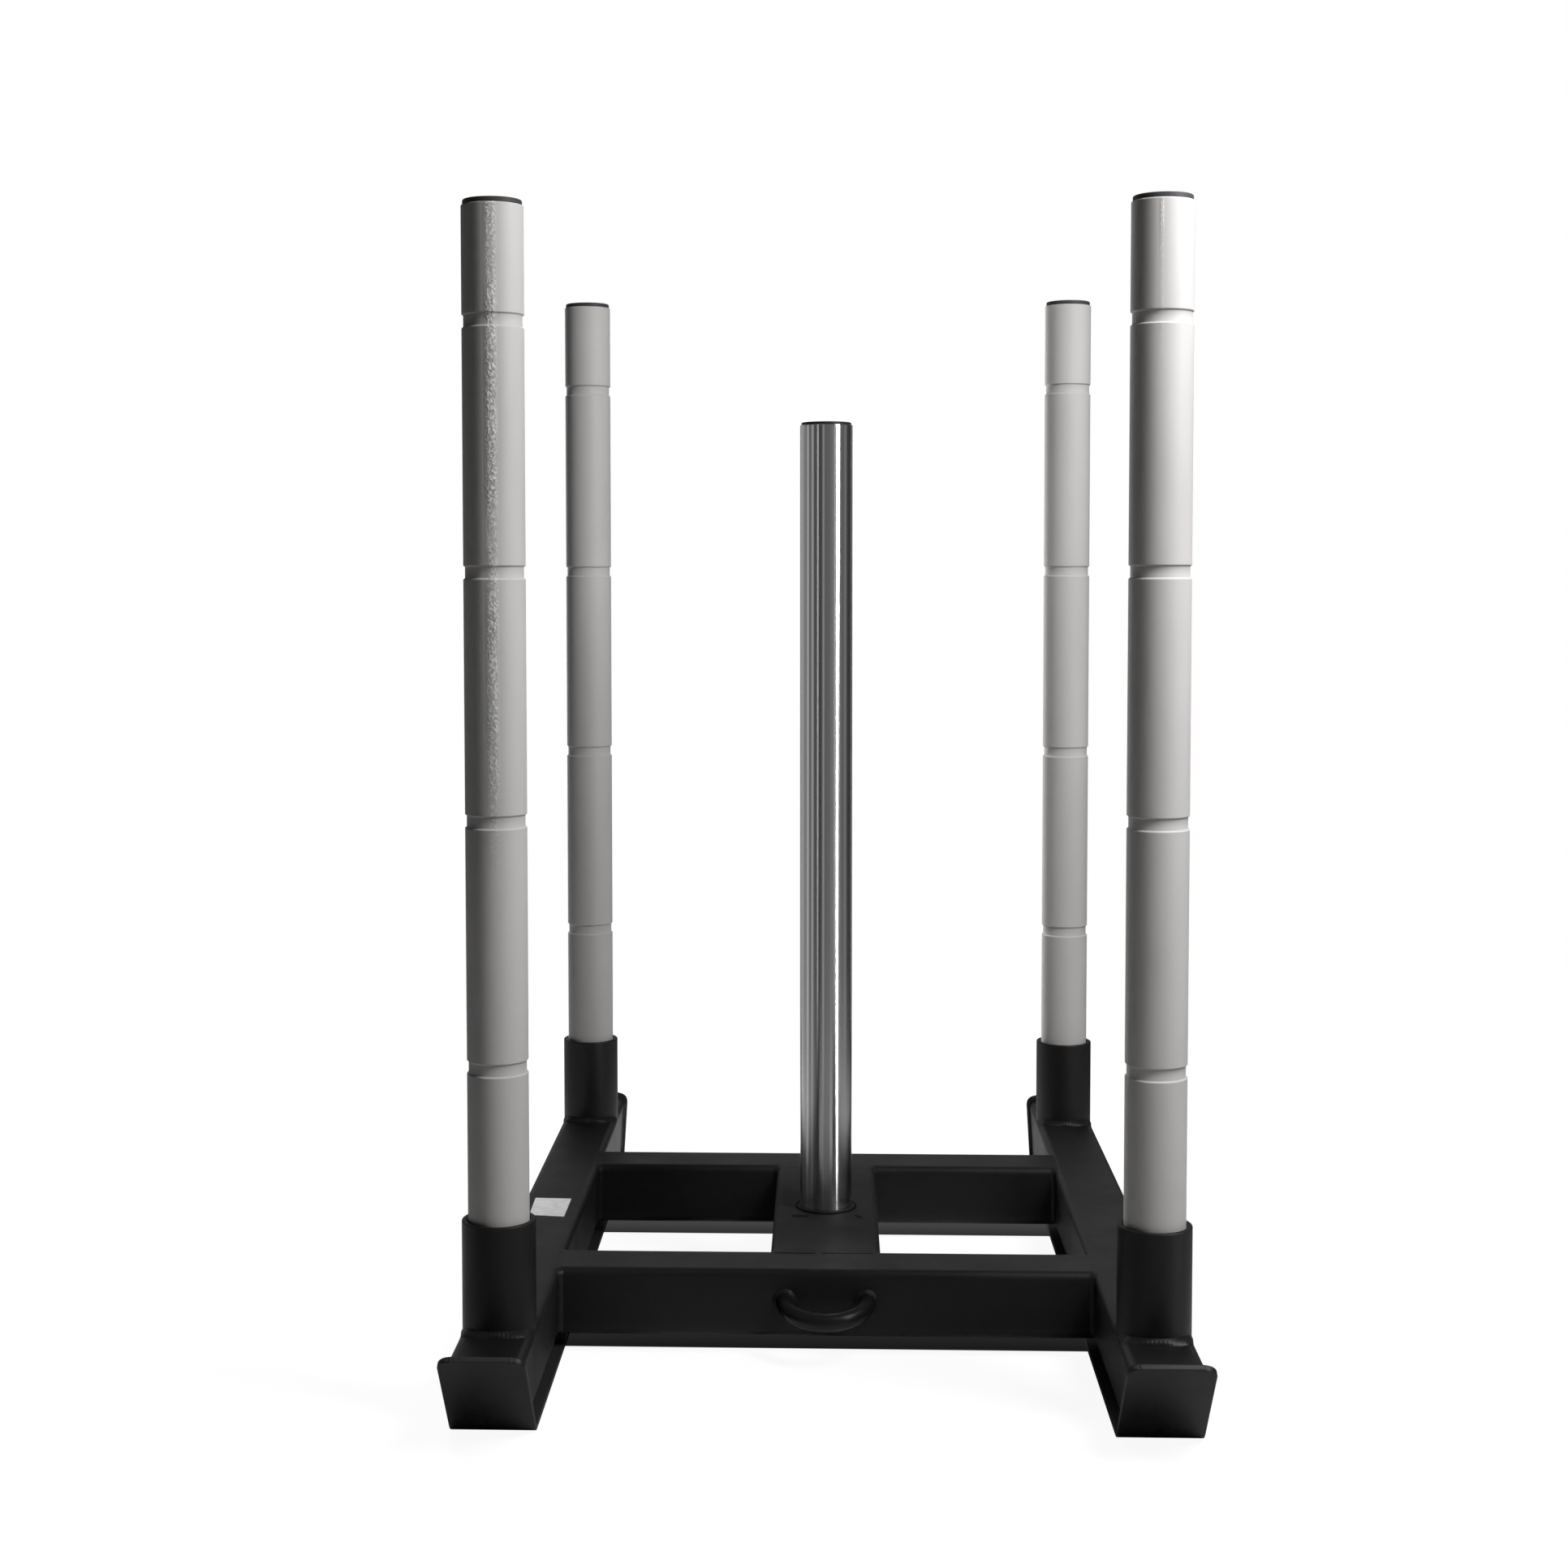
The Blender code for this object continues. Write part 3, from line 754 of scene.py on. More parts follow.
# %% End caps
CAP_ROUND = 0.0011
CAP_WALL = 0.0025
CAP_DOME = 0.0003
PLUG_GAP = 0.0004


def cap_profile(flange, plug, seat, low, top):
    """From the middle of the domed top, over the round rim, to the plug and up inside it."""
    fall = np.linspace(0.0, 1.0, 8)
    reach = flange - CAP_ROUND
    dome = np.stack([reach * fall, top - CAP_DOME * fall ** 2], axis=1)
    rim = round_edge(flange, top - CAP_DOME, CAP_ROUND, steps=8)[::-1]
    under = [(flange, seat), (plug, seat), (plug, low), (plug - CAP_WALL, low),
             (plug - CAP_WALL, seat), (0.0, seat)]
    return np.concatenate([dome[:-1], rim, under])


for (end, side), centre in pole_places.items():
    low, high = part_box(f"{end}_{side}_pole_cap")
    plug = pole_radius - POLE_WALL - PLUG_GAP
    profile = cap_profile((high.x - low.x) / 2, plug, pole_top + SEAT_GAP, low.z, high.z)
    add_skin(f"{end}_{side}_end_cap", turned_skin(profile, centre), greyed_plastic,
             body=f"{end}_{side}_pole", nodes=[f"{end}_{side}_pole_cap"])
print("plug", round(2000 * plug, 1), "mm across")

# %% [markdown]
# The weight post is the plainest turned piece: a tube with a slightly rounded lip, and a cap of the
# same form as those of the poles. It stands on the beam, on the axis of the whole sled.

# %% Weight post and its cap
AXIS = (0.0, 0.0)
POST_WALL = 0.0032
POST_EDGE = 0.0008
POST_WIDER = 0.00085                   # the photograph shows a 50 mm post
post_low, post_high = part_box("weight_post")
post_radius = post_high.x + POST_WIDER
cap_low, cap_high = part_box("post_cap")
bore = post_radius - POST_WALL
profile = np.concatenate([[(post_radius, post_low.z),
                           (post_radius, post_high.z - POST_EDGE - FLAT_HOLD)],
                          round_edge(post_radius, post_high.z, POST_EDGE),
                          [(bore, post_high.z), (bore, post_low.z)]])
add_skin("weight_post_tube", turned_skin(profile, AXIS), chrome, nodes=["weight_post"],
         wrap_rows=True)
profile = cap_profile(cap_high.x + POST_WIDER, bore - PLUG_GAP, post_high.z + SEAT_GAP, cap_low.z,
                      cap_high.z)
add_skin("post_end_cap", turned_skin(profile, AXIS), plastic, nodes=["post_cap"])
print("post stands", round(post_high.z - post_low.z, 4), "m above the beam")

# %% [markdown]
# A socket is a short pipe whose foot is cut to sit over the rail's round shoulders. A Boolean would
# cut it, but the cut is simple enough to say in numbers: where a point of the foot lies beyond the
# rail's flat top, it drops by the radius less the root of radius squared minus distance squared.

# %% Sockets
SOCKET_CLEARANCE = 0.00065
RIM_ROUND = 0.0012


def shoulder_drop(across, gap=0.0):
    """How far a rail's skin lies below its top at a distance from the rail's middle."""
    radius = TUBE_CORNER + gap
    beyond = np.clip(np.abs(across) - (TUBE_SIDE / 2 - TUBE_CORNER), 0.0, radius)
    return radius - np.sqrt(radius ** 2 - beyond ** 2)


def socket_skin(centre, bore, radius, top):
    """Rows go up the outside, over the round rim and down the bore; columns go round.

    Every row is a turned circle, except the two at the foot, whose height follows the rail.
    """
    held = top - RIM_ROUND - FLAT_HOLD
    rows = np.concatenate([[(radius, 0.0), (radius, held)],
                           round_edge(radius, top, RIM_ROUND),
                           round_edge(bore, top, RIM_ROUND, out=-1)[::-1],
                           [(bore, held), (bore, 0.0)]])
    skin = turned_skin(rows, centre)
    across = skin[[0, -1], :, 0] - centre[0]
    skin[[0, -1], :, 2] = RAIL_TOP + SEAT_GAP - shoulder_drop(across, SEAT_GAP)
    return skin


socket_bore = pole_radius + SOCKET_CLEARANCE
for (end, side), centre in pole_places.items():
    low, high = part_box(f"{end}_{side}_socket")
    socket_radius = (high.y - low.y) / 2
    add_skin(f"{end}_{side}_socket_pipe", socket_skin(centre, socket_bore, socket_radius, high.z),
             black_coat, nodes=[f"{end}_{side}_socket"], wrap_rows=True)
print("socket", round(2000 * socket_radius, 1), "mm across, clearance", SOCKET_CLEARANCE)

# %% [markdown]
# The tow eye is a half ring of round bar. Its skin is a circle carried along a half circle that
# leans down, and near both feet the bar runs straight into the face of the crossmember: each point
# of the first and last ring slides along the bar until it lies on that face.

# %% Tow eye
TOW_BAR = 0.016
TOW_TILT = np.radians(12)
TOW_RISE = 0.003
TOW_STEPS = 48
TOW_SIDES = 28
_, tow_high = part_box("tow_eye")
tow_radius = tow_high.x - TOW_BAR / 2
tow_face = tow_high.y
tow_foot = TUBE_MIDDLE + TOW_RISE


def tow_skin():
    """A point is the half ring's centre line plus the bar's radius, in a plane tilted downwards.

    In that plane the reach is ring radius + bar radius cos(a), the way ahead is reach sin(turn),
    and the lift off the plane is bar radius sin(a). The feet are cut by the face's plane.
    """
    turn = np.linspace(0.0, np.pi, TOW_STEPS + 1)[:, None]
    angle = round_angles(TOW_SIDES)[None, :]
    reach = tow_radius + TOW_BAR / 2 * np.cos(angle)
    lift = np.broadcast_to(TOW_BAR / 2 * np.sin(angle), (len(turn), TOW_SIDES))
    at_face = lift * np.tan(TOW_TILT)
    ahead = np.maximum(reach * np.sin(turn), at_face)
    ahead[[0, -1]] = at_face[[0, -1]]
    y = tow_face - ahead * np.cos(TOW_TILT) + lift * np.sin(TOW_TILT)
    z = tow_foot - ahead * np.sin(TOW_TILT) - lift * np.cos(TOW_TILT)
    return np.stack([reach * np.cos(turn), y, z], axis=-1)


add_skin("tow_eye_bar", tow_skin(), rubbed_coat, nodes=["tow_eye"], close_ends=True)
print("tow eye", round(2000 * tow_radius, 1), "mm across its bar's middle")

# %% [markdown]
# Weld beads hold the frame together, and a stand-in model leaves them out. A bead runs along two
# toe lines, one on each piece that it joins. Between the toes its crown swells a little, with the
# small overlapping scales that the welder's hand leaves, and a hidden root line closes it at the
# back. So any seam is three lines of points, and one function makes the bead from them.

# %% Weld beads
BEAD_ROWS = 10                         # points from toe to toe
BEAD_RAISE = 0.00008                   # a toe stands this far off its surface
SCALE_PITCH = 0.0034                   # from one scale of the bead to the next
SCALE_HEIGHT = 0.00035
SCALE_LAG = 0.35                       # how far the middle of a scale runs ahead of its toes
LUMP_HEIGHT = 0.0005


def bead_skin(toe_a, toe_b, root, crown, closed, phase, ripple):
    """A bead between two toe lines, given as arrays of points along the seam.

    Across the bead the share s runs from 0 to 1. A point is the straight line between the toes
    plus (crown + ripple (scales + lumps)) sin(pi s) along the outward normal. The scales repeat
    with the way along the seam, and their middle lags. The lumps are three slow waves, so no
    stretch repeats.
    """
    middle = (toe_a + toe_b) / 2
    steps = np.linalg.norm(np.diff(middle, axis=0), axis=1)
    way = np.concatenate([[0.0], np.cumsum(steps)])[:, None]
    share = np.linspace(0.0, 1.0, BEAD_ROWS)[None, :]
    outward = middle - root
    outward /= np.linalg.norm(outward, axis=1, keepdims=True)
    arch = np.sin(np.pi * share)
    length = way[-1] + (np.linalg.norm(middle[0] - middle[-1]) if closed else 0.0)
    count = np.round(length / SCALE_PITCH)
    turn = 2 * np.pi * (way / length * count - SCALE_LAG * arch)
    scales = SCALE_HEIGHT * (0.5 + 0.5 * np.cos(turn)) ** 2
    slow = 2 * np.pi * way / length
    lumps = LUMP_HEIGHT * (np.sin(3 * slow + phase) + np.sin(7 * slow + 2.1 * phase)
                           + np.sin(13 * slow + 1.3 * phase)) / 3
    swell = (crown + ripple * (scales + lumps)) * arch
    line = toe_a[:, None] * (1 - share[..., None]) + toe_b[:, None] * share[..., None]
    skin = line + swell[..., None] * outward[:, None]
    return np.concatenate([skin, root[:, None]], axis=1)


def add_bead(name, lines, crown, phase, ripple=1.0, closed=True, finish=black_coat, nodes=()):
    """Adds one bead along two toe lines and a root. A closed seam joins its end to its start."""
    skin = bead_skin(*lines, crown, closed, phase, ripple)
    return add_skin(name, skin, finish, nodes=nodes, wrap_rows=closed, close_ends=not closed)


# %% [markdown]
# The bead round a crossmember's end has one toe on the crossmember and one on the rail. At mid
# height that is a plain corner. At the top the rail's shoulder falls away, so the bead fills the
# valley and lies nearly flush, as it does in the photograph, where the frame's top looks like one
# surface. The formula is the same all round: the rail's toe follows the drop of its shoulder.

# %% Beads of the frame's tubes
CROSS_LEG = 0.0042
BEAM_LEG = 0.0040
CORNER_SWELL = {"left": (-0.0005, 0.7), "right": (-0.0009, 0.2)}      # crown and ripple
BEAD_PITCH = 0.0009                    # from one point of a seam to the next
ROOT_BACK, ROOT_IN = 0.0005, 0.003     # the root lies behind the joint and inside the outline


def dense_outline(width, height, radius):
    """The rounded outline, resampled so that points lie about one pitch apart, with its normals."""
    outline = rounded_outline(width, height, radius)
    loop = np.concatenate([outline, outline[:1]])
    way = np.concatenate([[0.0], np.cumsum(np.linalg.norm(np.diff(loop, axis=0), axis=1))])
    even = np.linspace(0.0, way[-1], int(way[-1] / BEAD_PITCH), endpoint=False)
    points = np.stack([np.interp(even, way, loop[:, axis]) for axis in (0, 1)], axis=1)
    core = np.array([width / 2 - radius, height / 2 - radius])
    normal = points - np.clip(points, -core, core)
    return points, normal / np.linalg.norm(normal, axis=1, keepdims=True)


def butt_lines(outline, normal, leg, middle):
    """Toes and root of a tube that butts against the side of another one, in the joint's own axes.

    Each line is three arrays: the way off the other tube, the way along it, and the height. The
    toe on the other tube moves out by the leg, is held below its top, and sinks with its shoulder.
    """
    def line(off, moved, height):
        return np.broadcast_to(off, len(moved)), moved[:, 0], height
    raised = outline + BEAD_RAISE * normal
    outer = outline + leg * normal
    inner = outline - ROOT_IN * normal
    top = np.clip(middle + outer[:, 1], RAIL_TOP - TUBE_SIDE, RAIL_TOP)
    return (line(leg, raised, middle + raised[:, 1]),
            line(BEAD_RAISE - shoulder_drop(top - TUBE_MIDDLE), outer, top),
            line(-ROOT_BACK, inner, middle + inner[:, 1]))


outline, normal = dense_outline(TUBE_SIDE, TUBE_SIDE, TUBE_CORNER)
lines = butt_lines(outline, normal, CROSS_LEG, TUBE_MIDDLE)
rail_face = RAIL_X - TUBE_SIDE / 2
for end in ENDS:
    for side, sign in SIDES.items():
        placed = [np.stack([sign * (rail_face - off), cross_y[end] + along, height], axis=1)
                  for off, along, height in lines]
        crown, ripple = CORNER_SWELL[side]
        add_bead(f"{end}_{side}_crossmember_weld", placed, crown, 1.7 * sign + ENDS[end], ripple)

outline, normal = dense_outline(BEAM_WIDTH, BEAM_HEIGHT, BEAM_CORNER)
lines = butt_lines(outline, normal, BEAM_LEG, BEAM_MIDDLE)
cross_face = cross_y["rear"] - TUBE_SIDE / 2
for end, sign in ENDS.items():
    placed = [np.stack([along, sign * (cross_face - off), height], axis=1)
              for off, along, height in lines]
    add_bead(f"{end}_beam_weld", placed, crown=-0.0001, phase=0.6 * sign, ripple=0.3)
print("beads round the tubes' ends:", 6)

# %% [markdown]
# Round the foot of a socket the bead changes as it goes. In front and behind it lies in the corner
# between the pipe and the rail's flat top, and it is broad. At the two sides the pipe is as wide as
# the rail, so the toe slips down over the shoulder and the bead shrinks to a flat seam. Where the
# post's own bead ends, a thin dark ring, one more small bead, is the painted shade of the crevice.

# %% Beads of the sockets, the post and the tow eye
SOCKET_LEG = 0.0058
SOCKET_CLIMB = (0.60, 0.25)            # part of the leg at the sides, and more in front and behind
SOCKET_BROAD = (0.65, 0.75)            # part of the leg on the axes, and more between them
SOCKET_ROOT = 0.002                    # the hidden root lies this far inside the pipe
RING_ROOT = 0.001
POST_LEG = 0.0040
POST_CLIMB = 0.0012
TOW_LEG = 0.0026
TOW_ROOT = 0.8                         # the hidden root's part of the bar's own oval
SHADE_RING_WIDTH = 0.0022
SHADE_RING_HEIGHT = 0.0012
SHADE_RING_PAST = 0.3                        # part of its width that lies past the bead's toe
# The colour below is scratched coat in the marks, and painted crevice shade in the ring round the
# post's foot, not soot.
DARK_MARKS_AND_SHADE = (0.0012, 0.0012, 0.0012)        # colour of soot and of scratched coat
DARK_MARK_DEPTH = 0.00005
RING_POINTS = 220
ring_angle = round_angles(RING_POINTS)
RING = np.stack([np.cos(ring_angle), np.sin(ring_angle)], axis=1)


def make_marks_and_shade():
    """Very dark, dull and a little uneven: the marks' scratched coat, and painted shade in the ring
    round the post's foot.
    """
    material, place = start_finish("marks_and_shade", "black_coat", DARK_MARKS_AND_SHADE, 0.7, specular=0.1)
    wear = noise(place, 500.0, 3.0)
    return finish_off(material, tint(wear, DARK_MARKS_AND_SHADE, BLACK),
                      spread(wear, 0.3, 0.7, 0.6, 0.8), bump(wear, DARK_MARK_DEPTH))


def raise_lines(centre, *lines):
    """Lines in space, each from points (x, y) about the centre and their height or heights."""
    return [np.column_stack([centre + flat, np.broadcast_to(height, len(flat))])
            for flat, height in lines]


def socket_lines(centre, radius):
    """Toes and root round a socket's foot; the outer toe is held above the rail's own side."""
    foot = RAIL_TOP - shoulder_drop(radius * RING[:, 0])
    climb = SOCKET_LEG * (SOCKET_CLIMB[0] + SOCKET_CLIMB[1] * RING[:, 1] ** 2)
    broad = SOCKET_BROAD[0] + SOCKET_BROAD[1] * (2 * RING[:, 0] * RING[:, 1]) ** 2
    outer = (radius + SOCKET_LEG * broad[:, None]) * RING
    outer[:, 0] = np.clip(outer[:, 0], -TUBE_SIDE / 2, TUBE_SIDE / 2)
    return raise_lines(centre, ((radius + BEAD_RAISE) * RING, foot + climb),
                       (outer, RAIL_TOP + BEAD_RAISE - shoulder_drop(outer[:, 0])),
                       ((radius - SOCKET_ROOT) * RING, foot))


def tow_lines(sign):
    """Toes and root round a foot of the tow eye, where the tilted bar meets the face in an oval."""
    oval = TOW_BAR / 2 * RING / (1.0, np.cos(TOW_TILT))
    slide = (0.0, TOW_LEG * np.tan(TOW_TILT))
    foot = (sign * tow_radius, tow_foot)
    return [np.insert(foot + flat, 1, y, axis=1)
            for flat, y in ((oval - slide, tow_face - TOW_LEG), (oval + TOW_LEG * RING, tow_face),
                            (TOW_ROOT * oval, tow_face))]


for (end, side), centre in pole_places.items():
    add_bead(f"{end}_{side}_socket_weld", socket_lines(centre, socket_radius), crown=0.0006,
             phase=2.0 * centre[0] / RAIL_X + ENDS[end])

level = RAIL_TOP + SEAT_GAP
post_lines = raise_lines(AXIS, ((post_radius + BEAD_RAISE) * RING, level + POST_CLIMB),
                         ((post_radius + POST_LEG) * RING, level),
                         ((post_radius - RING_ROOT) * RING, level))
add_bead("post_foot_weld", post_lines, crown=0.0, phase=0.4, ripple=0.5, nodes=["post_weld"])
# A thin dark ring just outside the post's bead: painted shade of the crevice.
shade_ring_out = post_radius + POST_LEG + SHADE_RING_PAST * SHADE_RING_WIDTH
shade_ring_lines = raise_lines(AXIS, ((shade_ring_out - SHADE_RING_WIDTH) * RING, level), (shade_ring_out * RING, level),
                         ((shade_ring_out - SHADE_RING_WIDTH / 2) * RING, level - RING_ROOT))
marks_and_shade = make_marks_and_shade()
add_bead("post_foot_painted_shade", shade_ring_lines, crown=SHADE_RING_HEIGHT, phase=1.1, ripple=0.6,
         finish=marks_and_shade)

for side, sign in SIDES.items():
    add_bead(f"tow_eye_{side}_weld", tow_lines(sign), crown=0.0002, phase=sign, ripple=0.3)
print("ring beads:", 8)

# %% [markdown]
# The last beads join the sawn ends of the rails to the tips of the skis. The seam goes up the inner
# side, over the top and down the outer side, and it stays open below. On the plate the toe moves
# out in the plane of the plate, and on the rail it moves back along the tube.

# %% Beads of the rails' ends
TIP_LEG = 0.0042
TIP_LEG_INNER = 0.0028                 # the plate stands out less on the inner side
TIP_ROOT = 0.001
TIP_THINNING, TIP_LEAST = 0.25, 0.15   # how soon the leg thins out, and its least part


def tip_lines(side, end):
    """Toes and root round three sides of a rail's end, from the lower inner corner to the outer.

    A plate's point at a height h and a way x has Y on the leaning plane, so moving out along the
    plate's slope by d adds d sin(tip angle) to h, and the plane's formula gives the Y.
    """
    points, normal = dense_outline(TUBE_SIDE, TUBE_SIDE, TUBE_CORNER)
    upper = points[:, 1] > -TUBE_SIDE / 2 + TUBE_CORNER
    start = np.flatnonzero(upper & ~np.roll(upper, 1))[0]
    order = (start + np.arange(upper.sum())) % len(points)
    points, normal = points[order], normal[order]
    inner = np.clip(-side * normal[:, 0], 0.0, 1.0)
    fade = np.sin(np.pi * np.linspace(0.0, 1.0, len(points))) ** TIP_THINNING
    leg = (TIP_LEG + (TIP_LEG_INNER - TIP_LEG) * inner) * np.clip(fade, TIP_LEAST, 1.0)

    def on_plate(out, lift, slope=1.0):
        x = side * RAIL_X + points[:, 0] + out * normal[:, 0]
        height = TUBE_MIDDLE + points[:, 1] + out * normal[:, 1] * slope
        reach = tip_face(height, SKI_THICKNESS + SEAT_GAP + lift)
        return np.stack([x, end * reach, height], axis=1)

    toe_plate = on_plate(leg, BEAD_RAISE, np.sin(TIP_ANGLE))
    toe_rail = on_plate(BEAD_RAISE, 0.0)
    toe_rail[:, 1] -= end * leg
    return toe_plate, toe_rail, on_plate(-TIP_ROOT, 0.0)


for end, way in ENDS.items():
    for side, sign in SIDES.items():
        add_bead(f"{end}_{side}_tip_weld", tip_lines(sign, way), crown=0.0003, closed=False,
                 phase=sign + 2 * way)
print("beads at the tips:", 4)

# %% [markdown]
# A blank paper label lies on the top of the left rail. Its corners are known as pixels of the
# photograph, and a pixel is a ray from the camera: where the ray meets the rail's top is the corner.
# The ray's direction is right and down by the pixel's offset over the focal length, plus forward.
# The same steps place two short scratches beside the post's foot, where plates have struck the
# beam, and the thin broken line where the beam's front bead ends on the crossmember.

# %% Blank label, scratches and a line on the beam
LABEL_PIXELS = ((660, 1476), (704, 1477), (695, 1499), (652, 1497))
LABEL_THICK = 0.00015
MARK_PIXELS = (((975, 1496.6), (997, 1497.2), (996, 1500.0), (976, 1499.6)),
               ((1053, 1496.4), (1062, 1499.0), (1062, 1502.0), (1054, 1499.6)),
               ((953, 1543.0), (1004, 1543.6), (1004, 1545.0), (953, 1544.2)),
               ((1012, 1543.8), (1076, 1544.2), (1076, 1544.9), (1012, 1544.7)))
MARK_THICK = 0.00008
PAPER = (0.60, 0.60, 0.61)
PAPER_WORN = (0.52, 0.51, 0.50)
PAPER_GRAINS = 900.0
PAPER_DEPTH = 0.00001


def pixel_on_level(pixel, level):
    """The point at a height that the camera shows at a pixel: place + ray (height - z) / ray z."""
    offset = (np.array(pixel) - CENTRE_PIXEL) / FOCAL_PIXELS
    ray_way = offset[0] * right + offset[1] * down + forward
    place = np.array(CAMERA_PLACE)
    return place + ray_way * (level - place[2]) / ray_way[2]


def make_paper():
    """Smooth label paper with a faint unevenness of colour and sheen."""
    material, place = start_finish("label_paper", "black_coat", PAPER, 0.5)
    wear = noise(place, 120.0, 4.0)
    grain = bump(noise(place, PAPER_GRAINS, 2.0), PAPER_DEPTH)
    return finish_off(material, tint(spread(wear, 0.4, 0.7), PAPER, PAPER_WORN),
                      spread(wear, 0.3, 0.7, 0.42, 0.6), grain)


def add_patch(name, pixels, thickness, finish):
    """A thin flat patch on the frame's top, where four pixels of the photograph show it."""
    corners = np.array([pixel_on_level(pixel, RAIL_TOP) for pixel in pixels])
    add_skin(name, np.stack([corners, corners + (0.0, 0.0, thickness)]), finish, close_ends=True)
    return 1000 * np.linalg.norm(corners[1] - corners[0])


print("label", round(add_patch("rail_label", LABEL_PIXELS, LABEL_THICK, make_paper()), 1), "mm wide")
for number, pixels in enumerate(MARK_PIXELS):
    add_patch(f"beam_mark_{number + 1}", pixels, MARK_THICK, marks_and_shade)

# %% [markdown]
# Light shows form. The photograph has one strong soft lamp near the sled, to the right of the camera
# and above it, a weaker one far back on the left, and a dim room. Their places were found by
# rendering candidate lamps one by one and mixing the pictures until the brightness across the four
# poles came out right. The streak in the chrome asks for a lamp a little farther round than the
# poles do, so one lamp lights matt surfaces and its twin lights shiny ones: a lamp can be told
# which kind of ray may see it. The streak gets narrower towards the foot of the post, and that is
# a second shiny lamp, a tall thin strip that reaches down almost to the floor. Its beam is narrow
# and turned upwards, so that it meets the post and passes beside the socket in front of it.

# %% Lamps


def round_place(azimuth, distance, height):
    """A point at degrees to the right of the sled's front, a distance from the post and a height."""
    turn = np.radians(azimuth)
    return (distance * np.sin(turn), -distance * np.cos(turn), height)


def add_lamp(name, place, aim_height, size, power, unseen_by, beam=180):
    """An area lamp that looks from its place at a height on the post's axis.

    It isn't seen by the camera itself, nor by one more kind of ray. Its beam is in degrees.
    """
    data = bpy.data.lights.new(name, "AREA")
    data.shape = "RECTANGLE"
    data.size, data.size_y = size
    data.energy = power
    data.spread = np.radians(beam)
    lamp = bpy.data.objects.new(name, data)
    ahead = np.subtract((*AXIS, aim_height), place)
    ahead = ahead / np.linalg.norm(ahead)
    level = np.cross(ahead, (0.0, 0.0, 1.0))
    level = level / np.linalg.norm(level)
    set_turned(lamp, place, level, np.cross(level, ahead), -ahead)
    lamp.visible_camera = False
    setattr(lamp, f"visible_{unseen_by}", False)
    print(name, "at", [round(float(value), 2) for value in place])


add_lamp("key_lamp", round_place(azimuth=46, distance=1.2, height=1.58), aim_height=0.4,
         size=(0.42, 0.80), power=31.0, unseen_by="glossy")
add_lamp("shine_lamp", round_place(azimuth=55, distance=1.4, height=1.38), aim_height=0.4,
         size=(0.36, 1.20), power=18.5, unseen_by="diffuse")
add_lamp("strip_lamp", round_place(azimuth=49.2, distance=0.9, height=0.58), aim_height=0.74,
         size=(0.085, 1.13), power=0.33, unseen_by="diffuse", beam=34)
add_lamp("back_lamp", (-0.70, 1.50, 0.70), aim_height=0.4, size=(0.8, 0.8), power=44.0,
         unseen_by="glossy")

# %% [markdown]
# The background is white paper that was cut out clean. If more light made it white, the sled would
# wash out, so the world is white only for the camera's own rays. Matt surfaces get a dim room.
# Shiny ones get the same room with its walls. The chrome is a mirror, and its light and dark uprights
# say what stands in the room: a pale wall behind, two narrow windows, a stand beside the camera. Each
# is a middle, a half width and a brightness, and the brightness falls in a straight line to both
# sides. Higher up it is simpler, and each wall is a product of ramps on the ray's direction.

# %% World
ROOM = 0.02
BACK_WALL = 0.34
FRONT_WALL = 0.12
CEILING = 0.10
ROOM_LOW, ROOM_HIGH = 0.16, 0.30       # Z of a direction: uprights below, plain walls above
ROOM_DIM = 0.05
ROOM_THINGS = (                        # degrees right of the sled's front, half width, brightness
    (-135, 55, 0.34),                  # the pale wall behind, on the left
    (-89, 9, 0.36),                    # two narrow windows
    (-63, 8, 0.32),
    (-74, 36, 0.11),                   # the wall that they are in
    (-12, 7, 0.24),                    # a stand beside the camera
    (38, 66, 0.17),                    # the wall on the right
    (94, 15, 0.14))                    # and its pale end


def room_round(x, y):
    """The room's brightness in a level direction, whose angle is atan2(x, -y).

    It is the dim room plus, for each thing, its brightness (1 - |angle - middle| / half width).
    """
    angle = combine("ARCTAN2", x, combine("MULTIPLY", y, -1.0))
    total = ROOM_DIM
    for middle, half, level in ROOM_THINGS:
        off = combine("ABSOLUTE", combine("SUBTRACT", angle, np.radians(middle)))
        total = combine("ADD", spread(off, np.radians(half), 0.0, 0.0, level), total)
    return total


def mix_shaders(factor, first, second):
    """The first shader where the factor is 0, and the second where it is 1."""
    return add_node("ShaderNodeMixShader", {0: factor, 1: first, 2: second}).outputs[0]


world = bpy.data.worlds.new("room")
bpy.context.scene.world = world
world.use_nodes = True
sky = world.node_tree
sky.nodes.clear()
ray = add_node("ShaderNodeLightPath", {}, sky).outputs
x, y, z = axes(add_node("ShaderNodeTexCoord", {}, sky).outputs["Generated"])
# Each ramp is a part of the direction, where the wall is dark there and where it is fully bright
behind = ramp_product(BACK_WALL, (y, 0.35, 0.85), (z, 0.80, 0.35), (x, 0.60, 0.25))
front = ramp_product(FRONT_WALL, (y, -0.3, -0.9), (z, 0.5, 0.1))
above = ramp_product(CEILING, (z, 0.2, 0.7))
high = ramp_product(combine("ADD", behind, front, above, ROOM), (z, ROOM_LOW, ROOM_HIGH))
low = ramp_product(room_round(x, y), (z, ROOM_HIGH, ROOM_LOW))
walls = combine("ADD", high, low)
dim, shown, white = (add_node("ShaderNodeBackground", {"Color": (1.0, 1.0, 1.0, 1.0),
                                                       "Strength": strength}, sky).outputs[0]
                     for strength in (ROOM, walls, 1.0))
unseen = mix_shaders(ray["Is Glossy Ray"], dim, shown)
add_node("ShaderNodeOutputWorld",
         {"Surface": mix_shaders(ray["Is Camera Ray"], unseen, white)})
print("things in the room:", len(ROOM_THINGS))

